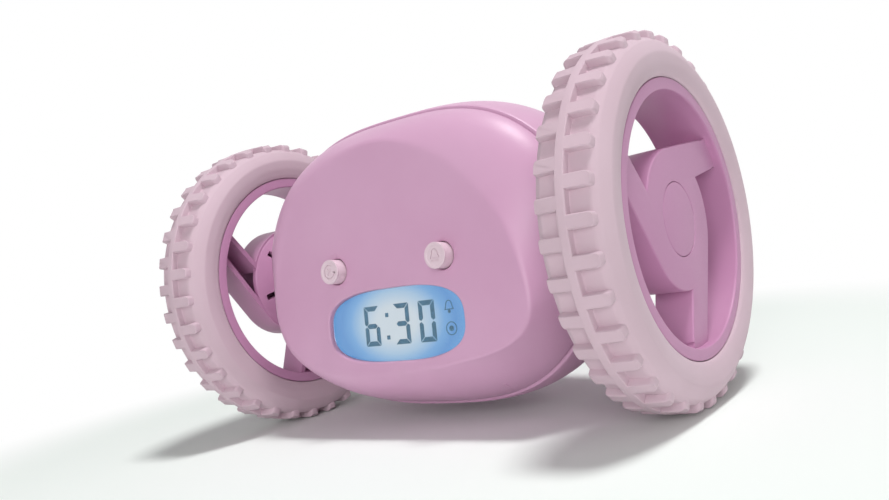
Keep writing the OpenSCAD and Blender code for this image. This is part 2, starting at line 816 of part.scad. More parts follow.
module tread_block() {
    arc = block_len / wheel_r * 180 / PI;
    rotate(-arc / 2) rotate_extrude(angle = arc, $fn = 2 * round_fn)
        polygon([[tread_r - 1.5, crown_w / 2 - 0.4], [wheel_r, crown_w / 2 - 0.4], [wheel_r, shoulder_u],
            [wheel_r - 0.35, block_out - 0.6], [wheel_r - 1, block_out], [tread_r - 1.5, block_out + 0.5]]);
}

module hub_cap() {
    color(rim_colour)
    along_axle(face_x - 1.15) cylinder(r = cap_r, h = 1.15, $fn = 64);
}

module wheel_screw() {
    color("#b9bcc2") {
        along_axle(face_x - 1.25 - head_h) cylinder(r = head_r, h = head_h, $fn = 32);
        along_axle(axle_end - 4) cylinder(r = 0.75, h = face_x - axle_end + 2, $fn = 24);
    }
}

module left() {
    mirror([1, 0, 0]) children();
}

front_shell();
rear_shell();
display_window();
lcd_panel();
backlight_block();
main_board();
front_switches();
snooze_button();
alarm_button();
beeper();
rear_board();
rear_switches();
hour_button();
minute_button();
time_button();
alarm_set_button();
slide_switch_case();
slide_switch_knob();
battery_tray();
battery_cells();
battery_contacts();
battery_door();
board_screws();
case_screws();
motor_plate();  // right_motor_plate
motor();  // right_motor
motor_pinion();  // right_motor_pinion
idler_gear();  // right_idler_gear
bush();  // right_bush
axle();  // right_axle
axle_gear();  // right_axle_gear
rim();  // right_rim
tyre();  // right_tyre
hub_cap();  // right_hub_cap
wheel_screw();  // right_wheel_screw
left() motor_plate();  // left_motor_plate
left() motor();  // left_motor
left() motor_pinion();  // left_motor_pinion
left() idler_gear();  // left_idler_gear
left() bush();  // left_bush
left() axle();  // left_axle
left() axle_gear();  // left_axle_gear
left() rim();  // left_rim
left() tyre();  // left_tyre
left() hub_cap();  // left_hub_cap
left() wheel_screw();  // left_wheel_screw
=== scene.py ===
import math

import bmesh
import bpy
import numpy as np
from mathutils import Matrix, Vector


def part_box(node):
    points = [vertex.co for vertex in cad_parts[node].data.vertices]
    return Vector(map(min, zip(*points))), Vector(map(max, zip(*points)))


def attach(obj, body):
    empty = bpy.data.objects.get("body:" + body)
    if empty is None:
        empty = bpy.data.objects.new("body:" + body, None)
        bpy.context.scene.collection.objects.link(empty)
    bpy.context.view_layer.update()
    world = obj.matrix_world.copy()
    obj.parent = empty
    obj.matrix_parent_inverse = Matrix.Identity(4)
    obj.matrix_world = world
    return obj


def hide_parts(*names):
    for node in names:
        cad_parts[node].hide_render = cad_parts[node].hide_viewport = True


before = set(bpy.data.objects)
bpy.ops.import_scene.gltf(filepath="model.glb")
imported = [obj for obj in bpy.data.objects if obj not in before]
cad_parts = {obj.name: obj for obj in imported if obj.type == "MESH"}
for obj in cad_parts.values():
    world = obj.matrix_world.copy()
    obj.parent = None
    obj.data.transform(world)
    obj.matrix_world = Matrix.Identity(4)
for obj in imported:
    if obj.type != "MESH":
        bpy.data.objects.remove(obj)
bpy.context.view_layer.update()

# ---- sizes of the real clock, in millimetres ----
# Height of the axles, and how far the flat face leans back.
AXLE_Z = 44.5
LEAN = math.radians(7.3)
# Barrel: largest radius, half length where its profile would close, the profile's two exponents,
# half length over the flat ends, and the wall of both shells.
BARREL_R, BARREL_HALF, BARREL_BOW, BARREL_ROOT, END_X, WALL = 40.8, 55.5, 3.0, 1.75, 52.2, 2.0
# Distance from the axles to the flat face.
FACE_D = 23.5
# Seam: its place, its open width, and how far the front shell stands inside the rear shell.
SEAM_Y, SEAM_GAP, REVEAL = -10.0, 0.3, 0.6
# Rounded edge of both shells: depth below the skin, and distance from the seam.
SEAM_LIP = [(0.0, 0.35), (0.12, 0.1), (0.35, 0.0)]
# Window: half width, half height, place, squareness of its outline, and gap round it.
WINDOW_HW, WINDOW_HH, WINDOW_Z, WINDOW_BOW, WINDOW_GAP = 23.2, 9.4, -17.6, 2.9, 0.15
# Front buttons: place, radius, gap round them, and how far they stand out.
BUTTON_X, BUTTON_Z, BUTTON_R, BUTTON_GAP, BUTTON_OUT = 18.5, -1.8, 3.3, 0.2, 3.0
# Set buttons on the back: places, height, radius, gap round them, and how far they stand out.
REAR_BUTTONS = {"hour": -18, "minute": -6, "time": 6, "alarm_set": 18}
REAR_BUTTON_Z, REAR_BUTTON_R, REAR_BUTTON_GAP, REAR_BUTTON_OUT = 8, 2.6, 0.15, 0.9
# Slide switch: height, travel, how far its slot reaches past the travel, and the slot's half height.
SLIDE_Z, SLIDE_TRAVEL, SLOT_PAST, SLOT_HZ = -8, 3, 2.3, 1.8
# Sound holes: pitch, radius, and height of the lowest row.
SOUND_PITCH, SOUND_R, SOUND_Z = 3.4, 0.8, 17
# Battery door: direction and half angle in degrees, half width of its opening, gap, thickness.
DOOR_DIR, DOOR_HALF, DOOR_HX, DOOR_GAP, DOOR_T = -77, 23, 25.5, 0.25, 1.8
# Case screws: places, outer and inner radius of their wells, and radius of the hole for the screw.
JOINS = [(-40, 17), (40, 17), (-37, -27), (37, -27)]
WELL_R, WELL_BORE, SCREW_HOLE_R = 3.6, 2.6, 1.3
# Wheels: place, width of the tyre, radius, width and lip of the rim, radius over the tread.
WHEEL_X, TYRE_W, RIM_R, RIM_W, LIP_W, WHEEL_R = 65.4, 17.6, 33.0, 15.3, 2.9, 44.5
# Hub: radius, how far its face lies below the rim lip, depth, and radius of the cap in it.
HUB_R, HUB_RECESS, HUB_DEPTH, CAP_R = 16.8, 2.1, 9.5, 8.7
# Spokes: width at the hub, how much narrower they are at the rim, wall, direction of the first.
SPOKE_W, SPOKE_TAPER, SPOKE_WALL, SPOKE_TURN = 8.9, 1.1, 1.5, -26.3
# Tread: blocks in a row, their length and height, width of the crown ring, direction of the first.
BLOCKS, BLOCK_LEN, BLOCK_H, CROWN_W, TREAD_TURN = 34, 3.1, 1.9, 2.2, 4.9
# Face of the hub and the spokes.
FACE_X = WHEEL_X + RIM_W / 2 - HUB_RECESS
# Marks on the display: front and back, then the digits' top, foot, stroke width and joint gap.
MARK_FRONT, MARK_BACK = -20.8, -20.72
DIGIT_TOP, DIGIT_LOW, DIGIT_STROKE, DIGIT_GAP = -12.3, -22.9, 1.3, 0.14


# ---- small tools ----
def linear(hex_colour):
    """An sRGB hex colour as linear RGBA."""
    parts = [int(hex_colour[i : i + 2], 16) / 255 for i in (1, 3, 5)]
    return [c / 12.92 if c <= 0.04045 else ((c + 0.055) / 1.055) ** 2.4 for c in parts] + [1.0]


def node(tree, kind, inputs=None, **settings):
    """Adds a node with its settings; an input is a value or the socket that feeds it."""
    made = tree.nodes.new(kind)
    for key, value in settings.items():
        setattr(made, key, value)
    for key, value in (inputs or {}).items():
        if isinstance(value, bpy.types.NodeSocket):
            tree.links.new(value, made.inputs[key])
        else:
            made.inputs[key].default_value = value
    return made


def mesh_object(name, points, faces):
    """An object at the origin from points in millimetres."""
    mesh = bpy.data.meshes.new(name)
    mesh.from_pydata([tuple(p) for p in np.asarray(points, float) * 0.001], [], faces)
    obj = bpy.data.objects.new(name, mesh)
    bpy.context.scene.collection.objects.link(obj)
    return obj


def close_up(obj):
    """Merges doubles and turns every face outwards."""
    bm = bmesh.new()
    bm.from_mesh(obj.data)
    bmesh.ops.remove_doubles(bm, verts=bm.verts, dist=2e-6)
    bmesh.ops.dissolve_degenerate(bm, dist=1e-7, edges=bm.edges)
    bmesh.ops.recalc_face_normals(bm, faces=bm.faces)
    bm.to_mesh(obj.data)
    bm.free()
    return obj


def ring_faces(rings, n, closed=False, caps=True):
    """Faces between rings of n points that follow each other; the ends are capped or meet."""
    faces = [(i * n + k, i * n + (k + 1) % n, (i + 1) % rings * n + (k + 1) % n, (i + 1) % rings * n + k)
             for i in range(rings if closed else rings - 1) for k in range(n)]
    if caps and not closed:
        faces += [tuple(range(n - 1, -1, -1)), tuple((rings - 1) * n + k for k in range(n))]
    return faces


def settle(obj):
    """Turns what the modifiers make into the plain mesh."""
    made = bpy.data.meshes.new_from_object(obj.evaluated_get(bpy.context.evaluated_depsgraph_get()))
    obj.modifiers.clear()
    obj.data = made
    return obj


def joined(name, parts):
    """One object from several; the parts go."""
    bm = bmesh.new()
    for part in parts:
        bm.from_mesh(part.data)
        bpy.data.objects.remove(part)
    mesh = bpy.data.meshes.new(name)
    bm.to_mesh(mesh)
    bm.free()
    obj = bpy.data.objects.new(name, mesh)
    bpy.context.scene.collection.objects.link(obj)
    return obj


def cut(obj, cutters):
    """Takes the cutters out of obj."""
    tool = joined("cutter", cutters)
    step = obj.modifiers.new("cut", "BOOLEAN")
    step.operation, step.solver, step.object = "DIFFERENCE", "EXACT", tool
    settle(obj)
    bpy.data.objects.remove(tool)
    return obj


def piece(obj, body, slot, stands_for=(), sharp=32):
    """Finishes a piece: smooth shading with crisp edges, its material, its body and its nodes."""
    obj.data.shade_smooth()
    obj.data.set_sharp_from_angle(angle=math.radians(sharp))
    obj.data.materials.clear()
    obj.data.materials.append(FINISH[slot])
    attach(obj, body)
    if stands_for:
        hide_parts(*stands_for)
    return obj


def rounded(points, radius, closed=False, steps=4):
    """A profile whose corners are turned into small arcs, by one radius or one for each corner."""
    pts = [np.array(p, float) for p in points]
    radii = list(radius) if isinstance(radius, (list, tuple)) else [radius] * len(pts)
    out = []
    for i, p in enumerate(pts):
        if radii[i] <= 0 or (not closed and i in (0, len(pts) - 1)):
            out.append(p)
            continue
        a, b = pts[i - 1] - p, pts[(i + 1) % len(pts)] - p
        la, lb = np.linalg.norm(a), np.linalg.norm(b)
        start, end = p + a / la * min(radii[i], 0.48 * la), p + b / lb * min(radii[i], 0.48 * lb)
        for k in range(steps + 1):
            t = k / steps
            out.append((1 - t) ** 2 * start + 2 * t * (1 - t) * p + t * t * end)
    return out


def row_frame(p):
    """Points of the leaning face's frame in the row frame."""
    p = np.asarray(p, float)
    c, s = math.cos(LEAN), math.sin(LEAN)
    return np.stack([p[..., 0], p[..., 1] * c + p[..., 2] * s, AXLE_Z - p[..., 1] * s + p[..., 2] * c], -1)


def on_wheel(side):
    """Places a turned shape's (along, radius, angle) on a wheel's axle."""
    return lambda x, r, a: np.stack([side * x + 0 * a, r * np.cos(a), AXLE_Z + r * np.sin(a)], -1)


def on_face(cx, cz):
    """Places a turned shape square to the flat face."""
    return lambda y, r, a: row_frame(np.stack([cx + r * np.cos(a), y + 0 * a, cz + r * np.sin(a)], -1))


def on_back(cx, cz):
    """Places a turned shape along Y, for the back of the case."""
    return lambda y, r, a: np.stack([cx + r * np.cos(a), y + 0 * a, AXLE_Z + cz + r * np.sin(a)], -1)


def turned(name, profile, steps, place, closed=False):
    """A turned shape; profile holds (along, radius) points and starts and ends on the axis, or is closed."""
    angles = np.linspace(0, 2 * math.pi, steps, endpoint=False)
    rows = [place(along, radius, angles) for along, radius in profile]
    return close_up(mesh_object(name, np.concatenate(rows), ring_faces(len(rows), steps, closed, caps=False)))


def rectangle(x0, x1, z0, z1):
    return [(x0, z0), (x1, z0), (x1, z1), (x0, z1)]


def prism(name, outline, place, near, far):
    """A flat outline carried from near to far; place maps (x, z, depth) to a point."""
    n = len(outline)
    points = [place(p[0], p[1], d) for d in (near, far) for p in outline]
    faces = [tuple(range(n)), tuple(range(2 * n - 1, n - 1, -1))]
    faces += [(i, (i + 1) % n, n + (i + 1) % n, n + i) for i in range(n)]
    return close_up(mesh_object(name, points, faces))


def stroke(name, path, width, place, near, far, closed=False):
    """A line of even width along a path in the plane, with some depth."""
    p = np.array(path, float)
    ahead, behind = np.roll(p, -1, 0), np.roll(p, 1, 0)
    if not closed:
        ahead[-1], behind[0] = p[-1], p[0]
    t = ahead - behind
    t /= np.linalg.norm(t, axis=1)[:, None]
    side = np.stack([-t[:, 1], t[:, 0]], 1) * width / 2
    points = [place(q[0], q[1], d) for edge, d in
              ((p + side, near), (p - side, near), (p - side, far), (p + side, far)) for q in edge]
    n = len(p)
    faces = []
    for i in range(n if closed else n - 1):
        for a in range(4):
            b, j = (a + 1) % 4, (i + 1) % n
            faces.append((a * n + i, b * n + i, b * n + j, a * n + j))
    if not closed:
        faces += [(0, n, 2 * n, 3 * n), (4 * n - 1, 3 * n - 1, 2 * n - 1, n - 1)]
    return close_up(mesh_object(name, points, faces))


def wall_between(name, outer, rims, inner):
    """A closed wall: a grid outside, a grid inside, and rows of points round the edge between them."""
    nu, nv = outer.shape[:2]
    edge = grid_edge(nu, nv)
    points = [outer.reshape(-1, 3)] + list(rims) + [inner.reshape(-1, 3)]
    faces = []
    for i in range(nu - 1):
        for j in range(nv - 1):
            quad = (i * nv + j, (i + 1) * nv + j, (i + 1) * nv + j + 1, i * nv + j + 1)
            faces.append(quad)
            faces.append(tuple(nu * nv + len(rims) * len(edge) + q for q in reversed(quad)))
    rows = [[i * nv + j for i, j in edge]]
    for k in range(len(rims)):
        rows.append([nu * nv + k * len(edge) + q for q in range(len(edge))])
    rows.append([nu * nv + len(rims) * len(edge) + i * nv + j for i, j in edge])
    for near, far in zip(rows, rows[1:]):
        for k in range(len(edge)):
            m = (k + 1) % len(edge)
            faces.append((near[k], near[m], far[m], far[k]))
    return close_up(mesh_object(name, np.concatenate(points), faces))


def grid_edge(nu, nv):
    """The places round the border of a grid, in order."""
    return ([(i, nv - 1) for i in range(nu)] + [(nu - 1, j) for j in range(nv - 2, -1, -1)]
            + [(i, 0) for i in range(nu - 2, -1, -1)] + [(0, j) for j in range(1, nv - 1)])


# ---- finishes ----
def new_material(name):
    """An empty material, its output, and the object's own coordinates."""
    made = bpy.data.materials.new(name)
    made.use_nodes = True
    tree = made.node_tree
    tree.nodes.clear()
    out = node(tree, "ShaderNodeOutputMaterial")
    place = node(tree, "ShaderNodeTexCoord").outputs["Object"]
    return made, tree, out, place


def per_mm(size):
    """Texture scale for features of this size in millimetres."""
    return 1000 / size


def fill_ramp(ramp, first, last, *between):
    """Gives a colour ramp its stops, each a position and an sRGB hex colour."""
    stops = ramp.color_ramp.elements
    stops[0].position, stops[0].color = first[0], linear(first[1])
    stops[1].position, stops[1].color = last[0], linear(last[1])
    for at, tone in between:
        stops.new(at).color = linear(tone)


def moulded(name, colour, deep, roughness, grain_mm, grain, sheen=0.0):
    """Moulded plastic or rubber: a faint cloud of the darker tint, fine tool grain, uneven gloss."""
    made, tree, out, place = new_material(name)
    cloud = node(tree, "ShaderNodeTexNoise",
                 {"Vector": place, "Scale": per_mm(30), "Detail": 3.0, "Roughness": 0.5})
    tint = node(tree, "ShaderNodeValToRGB", {"Fac": cloud.outputs["Fac"]})
    fill_ramp(tint, (0.3, deep), (0.7, colour))
    fine = node(tree, "ShaderNodeTexNoise", {"Vector": place, "Scale": per_mm(grain_mm), "Detail": 2.0})
    gloss = node(tree, "ShaderNodeMapRange", {"Value": fine.outputs["Fac"], "From Min": 0.3, "From Max": 0.7,
                                              "To Min": roughness - 0.04, "To Max": roughness + 0.05})
    bump = node(tree, "ShaderNodeBump",
                {"Height": fine.outputs["Fac"], "Strength": grain, "Distance": 0.0001})
    shader = node(tree, "ShaderNodeBsdfPrincipled", {"Base Color": tint.outputs["Color"],
                  "Roughness": gloss.outputs["Result"], "Normal": bump.outputs["Normal"]})
    shader.inputs["IOR"].default_value = 1.5
    shader.inputs["Sheen Weight"].default_value = sheen
    tree.links.new(shader.outputs["BSDF"], out.inputs["Surface"])
    return made


def metal(name, colour, deep, roughness, stretch):
    """Drawn, turned or brushed metal: streaks along one direction in colour and gloss."""
    made, tree, out, place = new_material(name)
    squash = node(tree, "ShaderNodeMapping", {"Vector": place, "Scale": stretch})
    streak = node(tree, "ShaderNodeTexNoise",
                  {"Vector": squash.outputs["Vector"], "Scale": per_mm(0.6), "Detail": 3.0})
    tint = node(tree, "ShaderNodeValToRGB", {"Fac": streak.outputs["Fac"]})
    fill_ramp(tint, (0.25, deep), (0.75, colour))
    gloss = node(tree, "ShaderNodeMapRange", {"Value": streak.outputs["Fac"], "To Min": roughness - 0.08,
                                              "To Max": roughness + 0.08})
    shader = node(tree, "ShaderNodeBsdfPrincipled", {"Base Color": tint.outputs["Color"],
                  "Roughness": gloss.outputs["Result"]})
    shader.inputs["Metallic"].default_value = 1.0
    tree.links.new(shader.outputs["BSDF"], out.inputs["Surface"])
    return made


def backlit_display():
    """Backlit liquid crystal glass: white glow in the middle that turns sky blue to the edges."""
    made, tree, out, place = new_material("backlit_lcd_glass")
    # Middle of the glow in the face's frame, and how far it reaches sideways and upwards, in metres.
    c = row_frame((-1.0, -20.7, -17.2)) * 0.001
    reach = (0.0235, 0.0150)
    spot = node(tree, "ShaderNodeMapping", {"Vector": place, "Scale": (1 / reach[0], 0.0, 1 / reach[1]),
                "Location": (-c[0] / reach[0], 0.0, -c[2] / reach[1])})
    glow = node(tree, "ShaderNodeTexGradient", {"Vector": spot.outputs["Vector"]}, gradient_type="SPHERICAL")
    tint = node(tree, "ShaderNodeValToRGB", {"Fac": glow.outputs["Fac"]})
    fill_ramp(tint, (0.0, "#6b9fd2"), (0.7, "#ccd3d8"),
              (0.16, "#5d92ca"), (0.3, "#74a4d2"), (0.46, "#a6c0d6"))
    shader = node(tree, "ShaderNodeBsdfPrincipled", {"Base Color": linear("#10161c"), "Roughness": 0.3,
                  "Emission Color": tint.outputs["Color"]})
    shader.inputs["Emission Strength"].default_value = 1.0
    tree.links.new(shader.outputs["BSDF"], out.inputs["Surface"])
    return made


def clear_acrylic():
    """Clear acrylic, polished: sharp reflections, with faint flow marks from the mould."""
    made, tree, out, place = new_material("clear_acrylic")
    flow = node(tree, "ShaderNodeTexNoise", {"Vector": place, "Scale": per_mm(12), "Detail": 1.0})
    gloss = node(tree, "ShaderNodeMapRange", {"Value": flow.outputs["Fac"], "To Min": 0.02, "To Max": 0.05})
    shader = node(tree, "ShaderNodeBsdfPrincipled",
                  {"Base Color": linear("#f4f9fd"), "Roughness": gloss.outputs["Result"]})
    shader.inputs["Transmission Weight"].default_value = 1.0
    shader.inputs["IOR"].default_value = 1.3
    tree.links.new(shader.outputs["BSDF"], out.inputs["Surface"])
    return made


def segment_ink():
    """Switched-on liquid crystal segments: dark teal, a little uneven."""
    made, tree, out, place = new_material("lcd_segment")
    cloud = node(tree, "ShaderNodeTexNoise", {"Vector": place, "Scale": per_mm(1.2), "Detail": 1.0})
    tint = node(tree, "ShaderNodeValToRGB", {"Fac": cloud.outputs["Fac"]})
    fill_ramp(tint, (0.3, "#2f5a70"), (0.7, "#40708a"))
    shader = node(tree, "ShaderNodeBsdfPrincipled", {"Base Color": linear("#10202a"), "Roughness": 0.4,
                  "Emission Color": tint.outputs["Color"]})
    shader.inputs["Emission Strength"].default_value = 0.9
    tree.links.new(shader.outputs["BSDF"], out.inputs["Surface"])
    return made


def circuit_laminate():
    """Solder mask on glass laminate: green with the faint weave of the cloth below."""
    made, tree, out, place = new_material("solder_mask_laminate")
    weave = node(tree, "ShaderNodeTexWave", {"Vector": place, "Scale": per_mm(5), "Distortion": 0.6},
                 bands_direction="DIAGONAL")
    tint = node(tree, "ShaderNodeValToRGB", {"Fac": weave.outputs["Fac"]})
    fill_ramp(tint, (0.0, "#245a38"), (1.0, "#2f7047"))
    shader = node(tree, "ShaderNodeBsdfPrincipled", {"Base Color": tint.outputs["Color"], "Roughness": 0.35})
    tree.links.new(shader.outputs["BSDF"], out.inputs["Surface"])
    return made


FINISH = {
    # Satin moulded ABS: soft broad highlights, no visible texture from arm's length.
    "case_plastic": moulded("moulded_abs_case", "#cc9fbd", "#c798b7", 0.42, 0.35, 0.05),
    # The same ABS in a deeper tint for the rims.
    "rim_plastic": moulded("moulded_abs_rim", "#bf8aae", "#ba84a9", 0.45, 0.35, 0.05),
    # Soft thermoplastic rubber: dull, dusty sheen, finely grained by a blasted mould.
    "tyre_rubber": moulded("moulded_soft_rubber", "#ccb3bf", "#c6acb8", 0.72, 0.5, 0.12, sheen=0.1),
    # Paler satin ABS of the caps.
    "button_plastic": moulded("moulded_abs_button", "#dcc5d0", "#d8c0cb", 0.4, 0.3, 0.04),
    "clear_window": clear_acrylic(),
    "lcd_glass": backlit_display(),
    # White diffusing plastic behind the display.
    "light_guide": moulded("moulded_white_diffuser", "#eef3f6", "#e4ebf0", 0.55, 0.4, 0.03),
    "circuit_board": circuit_laminate(),
    # Black glass-filled plastic of switches and beeper.
    "black_plastic": moulded("moulded_black_plastic", "#303236", "#28292d", 0.55, 0.3, 0.1),
    # Natural acetal gears and plates.
    "gear_plastic": moulded("moulded_natural_acetal", "#e6e2da", "#ddd8cf", 0.4, 0.3, 0.04),
    "brass_gear": metal("turned_brass", "#d8b76c", "#c8a558", 0.3, (1.0, 0.1, 0.1)),
    "spring_steel": metal("drawn_steel", "#c9ccd1", "#b6b9be", 0.32, (0.15, 1.0, 1.0)),
    "motor_can": metal("rolled_steel_can", "#bfc2c7", "#adb0b6", 0.38, (0.1, 1.0, 1.0)),
    "cell_can": metal("lacquered_cell_can", "#5a5e66", "#4b4f56", 0.42, (0.1, 1.0, 1.0)),
}
SEGMENT_INK = segment_ink()

# ---- barrel body ----
# Steps round the face, and the point from which its outlines are measured.
FACE_STEPS = 384
FACE_MIDDLE = (0.0, WINDOW_Z)
# Outline of the flat face, round from its top by the right.
FLAT_EDGE = [(0, 31.3), (5, 30.3), (13, 27), (19, 23.6), (24, 20), (31, 12.6), (37, 5), (40, -3), (41.8, -10),
             (42.8, -17), (42, -21.5), (39, -24), (35, -25.3), (27, -27), (19, -28), (9, -29), (0, -29.3),
             (-9, -29.2), (-19, -28.6), (-30, -27), (-38.5, -24.3), (-42.2, -20), (-43.4, -13), (-42.8, -4),
             (-40.4, 5.5), (-36.4, 13.5), (-31, 20), (-25, 25), (-19, 28.5), (-13, 30.2), (-8, 31)]
# How full the shoulder is, every 45 degrees round from the right by the top.
FULL = [0.3, 0.4, 0.55, 0.85, 0.95, 0.78, 0.6, 0.45, 0.3]


def barrel(x, depth=0.0):
    """Radius of the barrel at x, depth below its skin."""
    share = np.maximum(0, 1 - (np.abs(x) / (BARREL_HALF - depth)) ** BARREL_BOW)
    return (BARREL_R - depth) * share ** (1 / BARREL_ROOT)


def skin_x(u, depth):
    """Places along the barrel, closer together at its ends, for u from -1 to 1."""
    return (END_X - depth) * np.sin(math.pi / 2 * u)


def window_outline(t, grow):
    """The window's rounded outline, made larger by grow."""
    c, s = np.cos(t), np.sin(t)
    return (np.sign(c) * np.abs(c) ** (2 / WINDOW_BOW) * (WINDOW_HW + grow),
            WINDOW_Z + np.sign(s) * np.abs(s) ** (2 / WINDOW_BOW) * (WINDOW_HH + grow))


def on_rays(x, z, turn, smooth=0):
    """A closed outline, met by rays from the window's middle in the directions turn."""
    dx, dz = np.asarray(x, float) - FACE_MIDDLE[0], np.asarray(z, float) - FACE_MIDDLE[1]
    far = np.interp(turn, np.arctan2(dz, dx), np.hypot(dx, dz), period=2 * math.pi)
    if smooth:
        waves = np.fft.rfft(far)
        far = np.fft.irfft(waves * np.exp(-((np.arange(len(waves)) / smooth) ** 2)), len(far))
    return FACE_MIDDLE[0] + far * np.cos(turn), FACE_MIDDLE[1] + far * np.sin(turn)


def seam_ring(turn, depth, y):
    """Where the barrel, depth below its skin, meets the plane y of the seam; and its outward normals."""
    x = skin_x(np.linspace(-1, 1, 1601), depth)
    z = np.sqrt(np.maximum(barrel(x, depth) ** 2 - y * y, 0.01))
    x, z = on_rays(np.concatenate([x, x[::-1]]), np.concatenate([z, -z[::-1]]), turn)
    reach = 0.05
    outer = np.minimum(np.abs(x) + reach, BARREL_HALF - depth)
    steep = (barrel(np.abs(x) - reach, depth) - barrel(outer, depth)) / (2 * reach)
    normal = np.stack([np.sign(x) * steep, y / np.hypot(y, z), z / np.hypot(y, z)], -1)
    normal /= np.linalg.norm(normal, axis=1)[:, None]
    return np.stack([x, y + 0 * x, AXLE_Z + z], -1), normal


def shoulder(turn, depth, y, edge):
    """Control points of the curves that run from the flat's edge over the shoulder to the seam."""
    seam, normal = seam_ring(turn, depth, y)
    span = edge - seam
    along = span - (span * normal).sum(1)[:, None] * normal
    along /= np.linalg.norm(along, axis=1)[:, None]
    eighth = np.mod(turn, 2 * math.pi) / (math.pi / 4)
    eighth = np.floor(eighth) + (1 - np.cos(math.pi * (eighth % 1))) / 2
    full = np.interp(eighth, range(9), FULL)
    return seam, seam + (full * np.linalg.norm(span, axis=1))[:, None] * along


def bent(start, bend, end, t):
    """Points of the curve from start to end that is pulled towards bend."""
    return (1 - t) ** 2 * start + 2 * t * (1 - t) * bend + t * t * end


def flat_edge(turn, inset, depth):
    """Edge of the flat face, moved in by inset, on the face or depth behind it."""
    x, z = on_rays([p[0] for p in FLAT_EDGE], [p[1] for p in FLAT_EDGE], turn, smooth=16)
    out = np.stack([x - FACE_MIDDLE[0], z - FACE_MIDDLE[1]], -1)
    out /= np.linalg.norm(out, axis=1)[:, None]
    return row_frame(np.stack([x - inset * out[:, 0], depth - FACE_D + 0 * x, z - inset * out[:, 1]], -1))


def front_shell():
    """Skin and wall of the front shell: window edge, flat face, crease, shoulder and seam."""
    # Rounding of the window's edge, width of the crease, how much smaller the flat is inside the wall,
    # and the depth of a row of points halfway down the window's edge.
    edge_r, crease, inside_flat, halfway = 0.5, 1.0, 1.1, 1.2
    turn = np.linspace(-math.pi, math.pi, FACE_STEPS, endpoint=False)
    table = np.linspace(-math.pi, math.pi, 4001)

    def at_window(grow, depth):
        x, z = on_rays(*window_outline(table, WINDOW_GAP + grow), turn)
        return row_frame(np.stack([x, depth - FACE_D + 0 * x, z], -1))

    edge = flat_edge(turn, 0.0, 0.0)
    end, bend = shoulder(turn, REVEAL, SEAM_Y - SEAM_LIP[0][1], edge)
    leave = crease / 2 / np.linalg.norm(bend - edge, axis=1)[:, None]
    start, inside = at_window(edge_r, 0.0), flat_edge(turn, crease, 0.0)
    # Rows over the flat face, the crease, the shoulder and the seam's edge, then back along the inside.
    rows = [start + (inside - start) * t for t in np.linspace(0, 1, 12)]
    rows += [bent(inside, edge, bent(edge, bend, end, leave), t) for t in np.linspace(0, 1, 7)[1:]]
    rows += [bent(edge, bend, end, leave + (1 - leave) * t) for t in np.linspace(0, 1, 46)[1:]]
    rows += [seam_ring(turn, REVEAL + depth, SEAM_Y - back)[0] for depth, back in SEAM_LIP[1:]]
    rows += [seam_ring(turn, WALL, SEAM_Y)[0]]
    edge = flat_edge(turn, inside_flat, WALL)
    end, bend = shoulder(turn, WALL, SEAM_Y, edge)
    rows += [bent(edge, bend, end, t) for t in np.linspace(1, 0, 12)[1:]]
    rows += [at_window(0.0, WALL), at_window(0.0, halfway)]
    for h in np.linspace(math.pi / 2, 0, 6, endpoint=False):
        rows.append(at_window(edge_r * (1 - math.sin(h)), edge_r * (1 - math.cos(h))))
    faces = ring_faces(len(rows), FACE_STEPS, closed=True)
    shell = close_up(mesh_object("front_shell_skin", np.concatenate(rows), faces))
    # The bores widen in a small flare where they meet the face.
    r, mouth = BUTTON_R + BUTTON_GAP, -FACE_D
    flare = [(mouth - 2, 0), (mouth - 2, r + 0.6), (mouth - 0.1, r + 0.6), (mouth + 0.05, r + 0.28),
             (mouth + 0.2, r + 0.1), (mouth + 0.45, r), (mouth + 3, r), (mouth + 3, 0)]
    return cut(shell, [turned("bore", flare, 72, on_face(sign * BUTTON_X, BUTTON_Z)) for sign in (-1, 1)])


def rear_skin():
    """The rear shell's wall, with a flat end on each side and a rounded edge along the seam."""
    seam = SEAM_Y + SEAM_GAP
    nu, nv = 97, 193
    u, v = np.meshgrid(np.linspace(-1, 1, nu), np.linspace(-1, 1, nv), indexing="ij")

    def skin_back(u, v, depth, y):
        x = skin_x(u, depth)
        r = barrel(x, depth)
        a = v * np.arccos(np.clip(y / r, -1, 1))
        return np.stack([x, r * np.cos(a), AXLE_Z + r * np.sin(a)], -1)

    edge = grid_edge(nu, nv)
    eu, ev = np.array([u[i, j] for i, j in edge]), np.array([v[i, j] for i, j in edge])
    ends = (np.abs(eu) == 1) & (np.abs(ev) < 1)

    def chord(depth, y):
        p = skin_back(eu, np.where(ev > 0, 1.0, -1.0), depth, y)
        low, high = skin_back(eu, -1 + 0 * ev, depth, y)[:, 2], skin_back(eu, 1 + 0 * ev, depth, y)[:, 2]
        p[ends, 2] = (low + (high - low) * (ev + 1) / 2)[ends]
        p[:, 1] = y
        return p

    rims = [chord(depth, seam + back) for depth, back in SEAM_LIP] + [chord(WALL, seam)]
    outer, inner = skin_back(u, v, 0.0, seam + SEAM_LIP[0][1]), skin_back(u, v, WALL, seam)
    return wall_between("rear_shell_skin", outer, rims, inner)


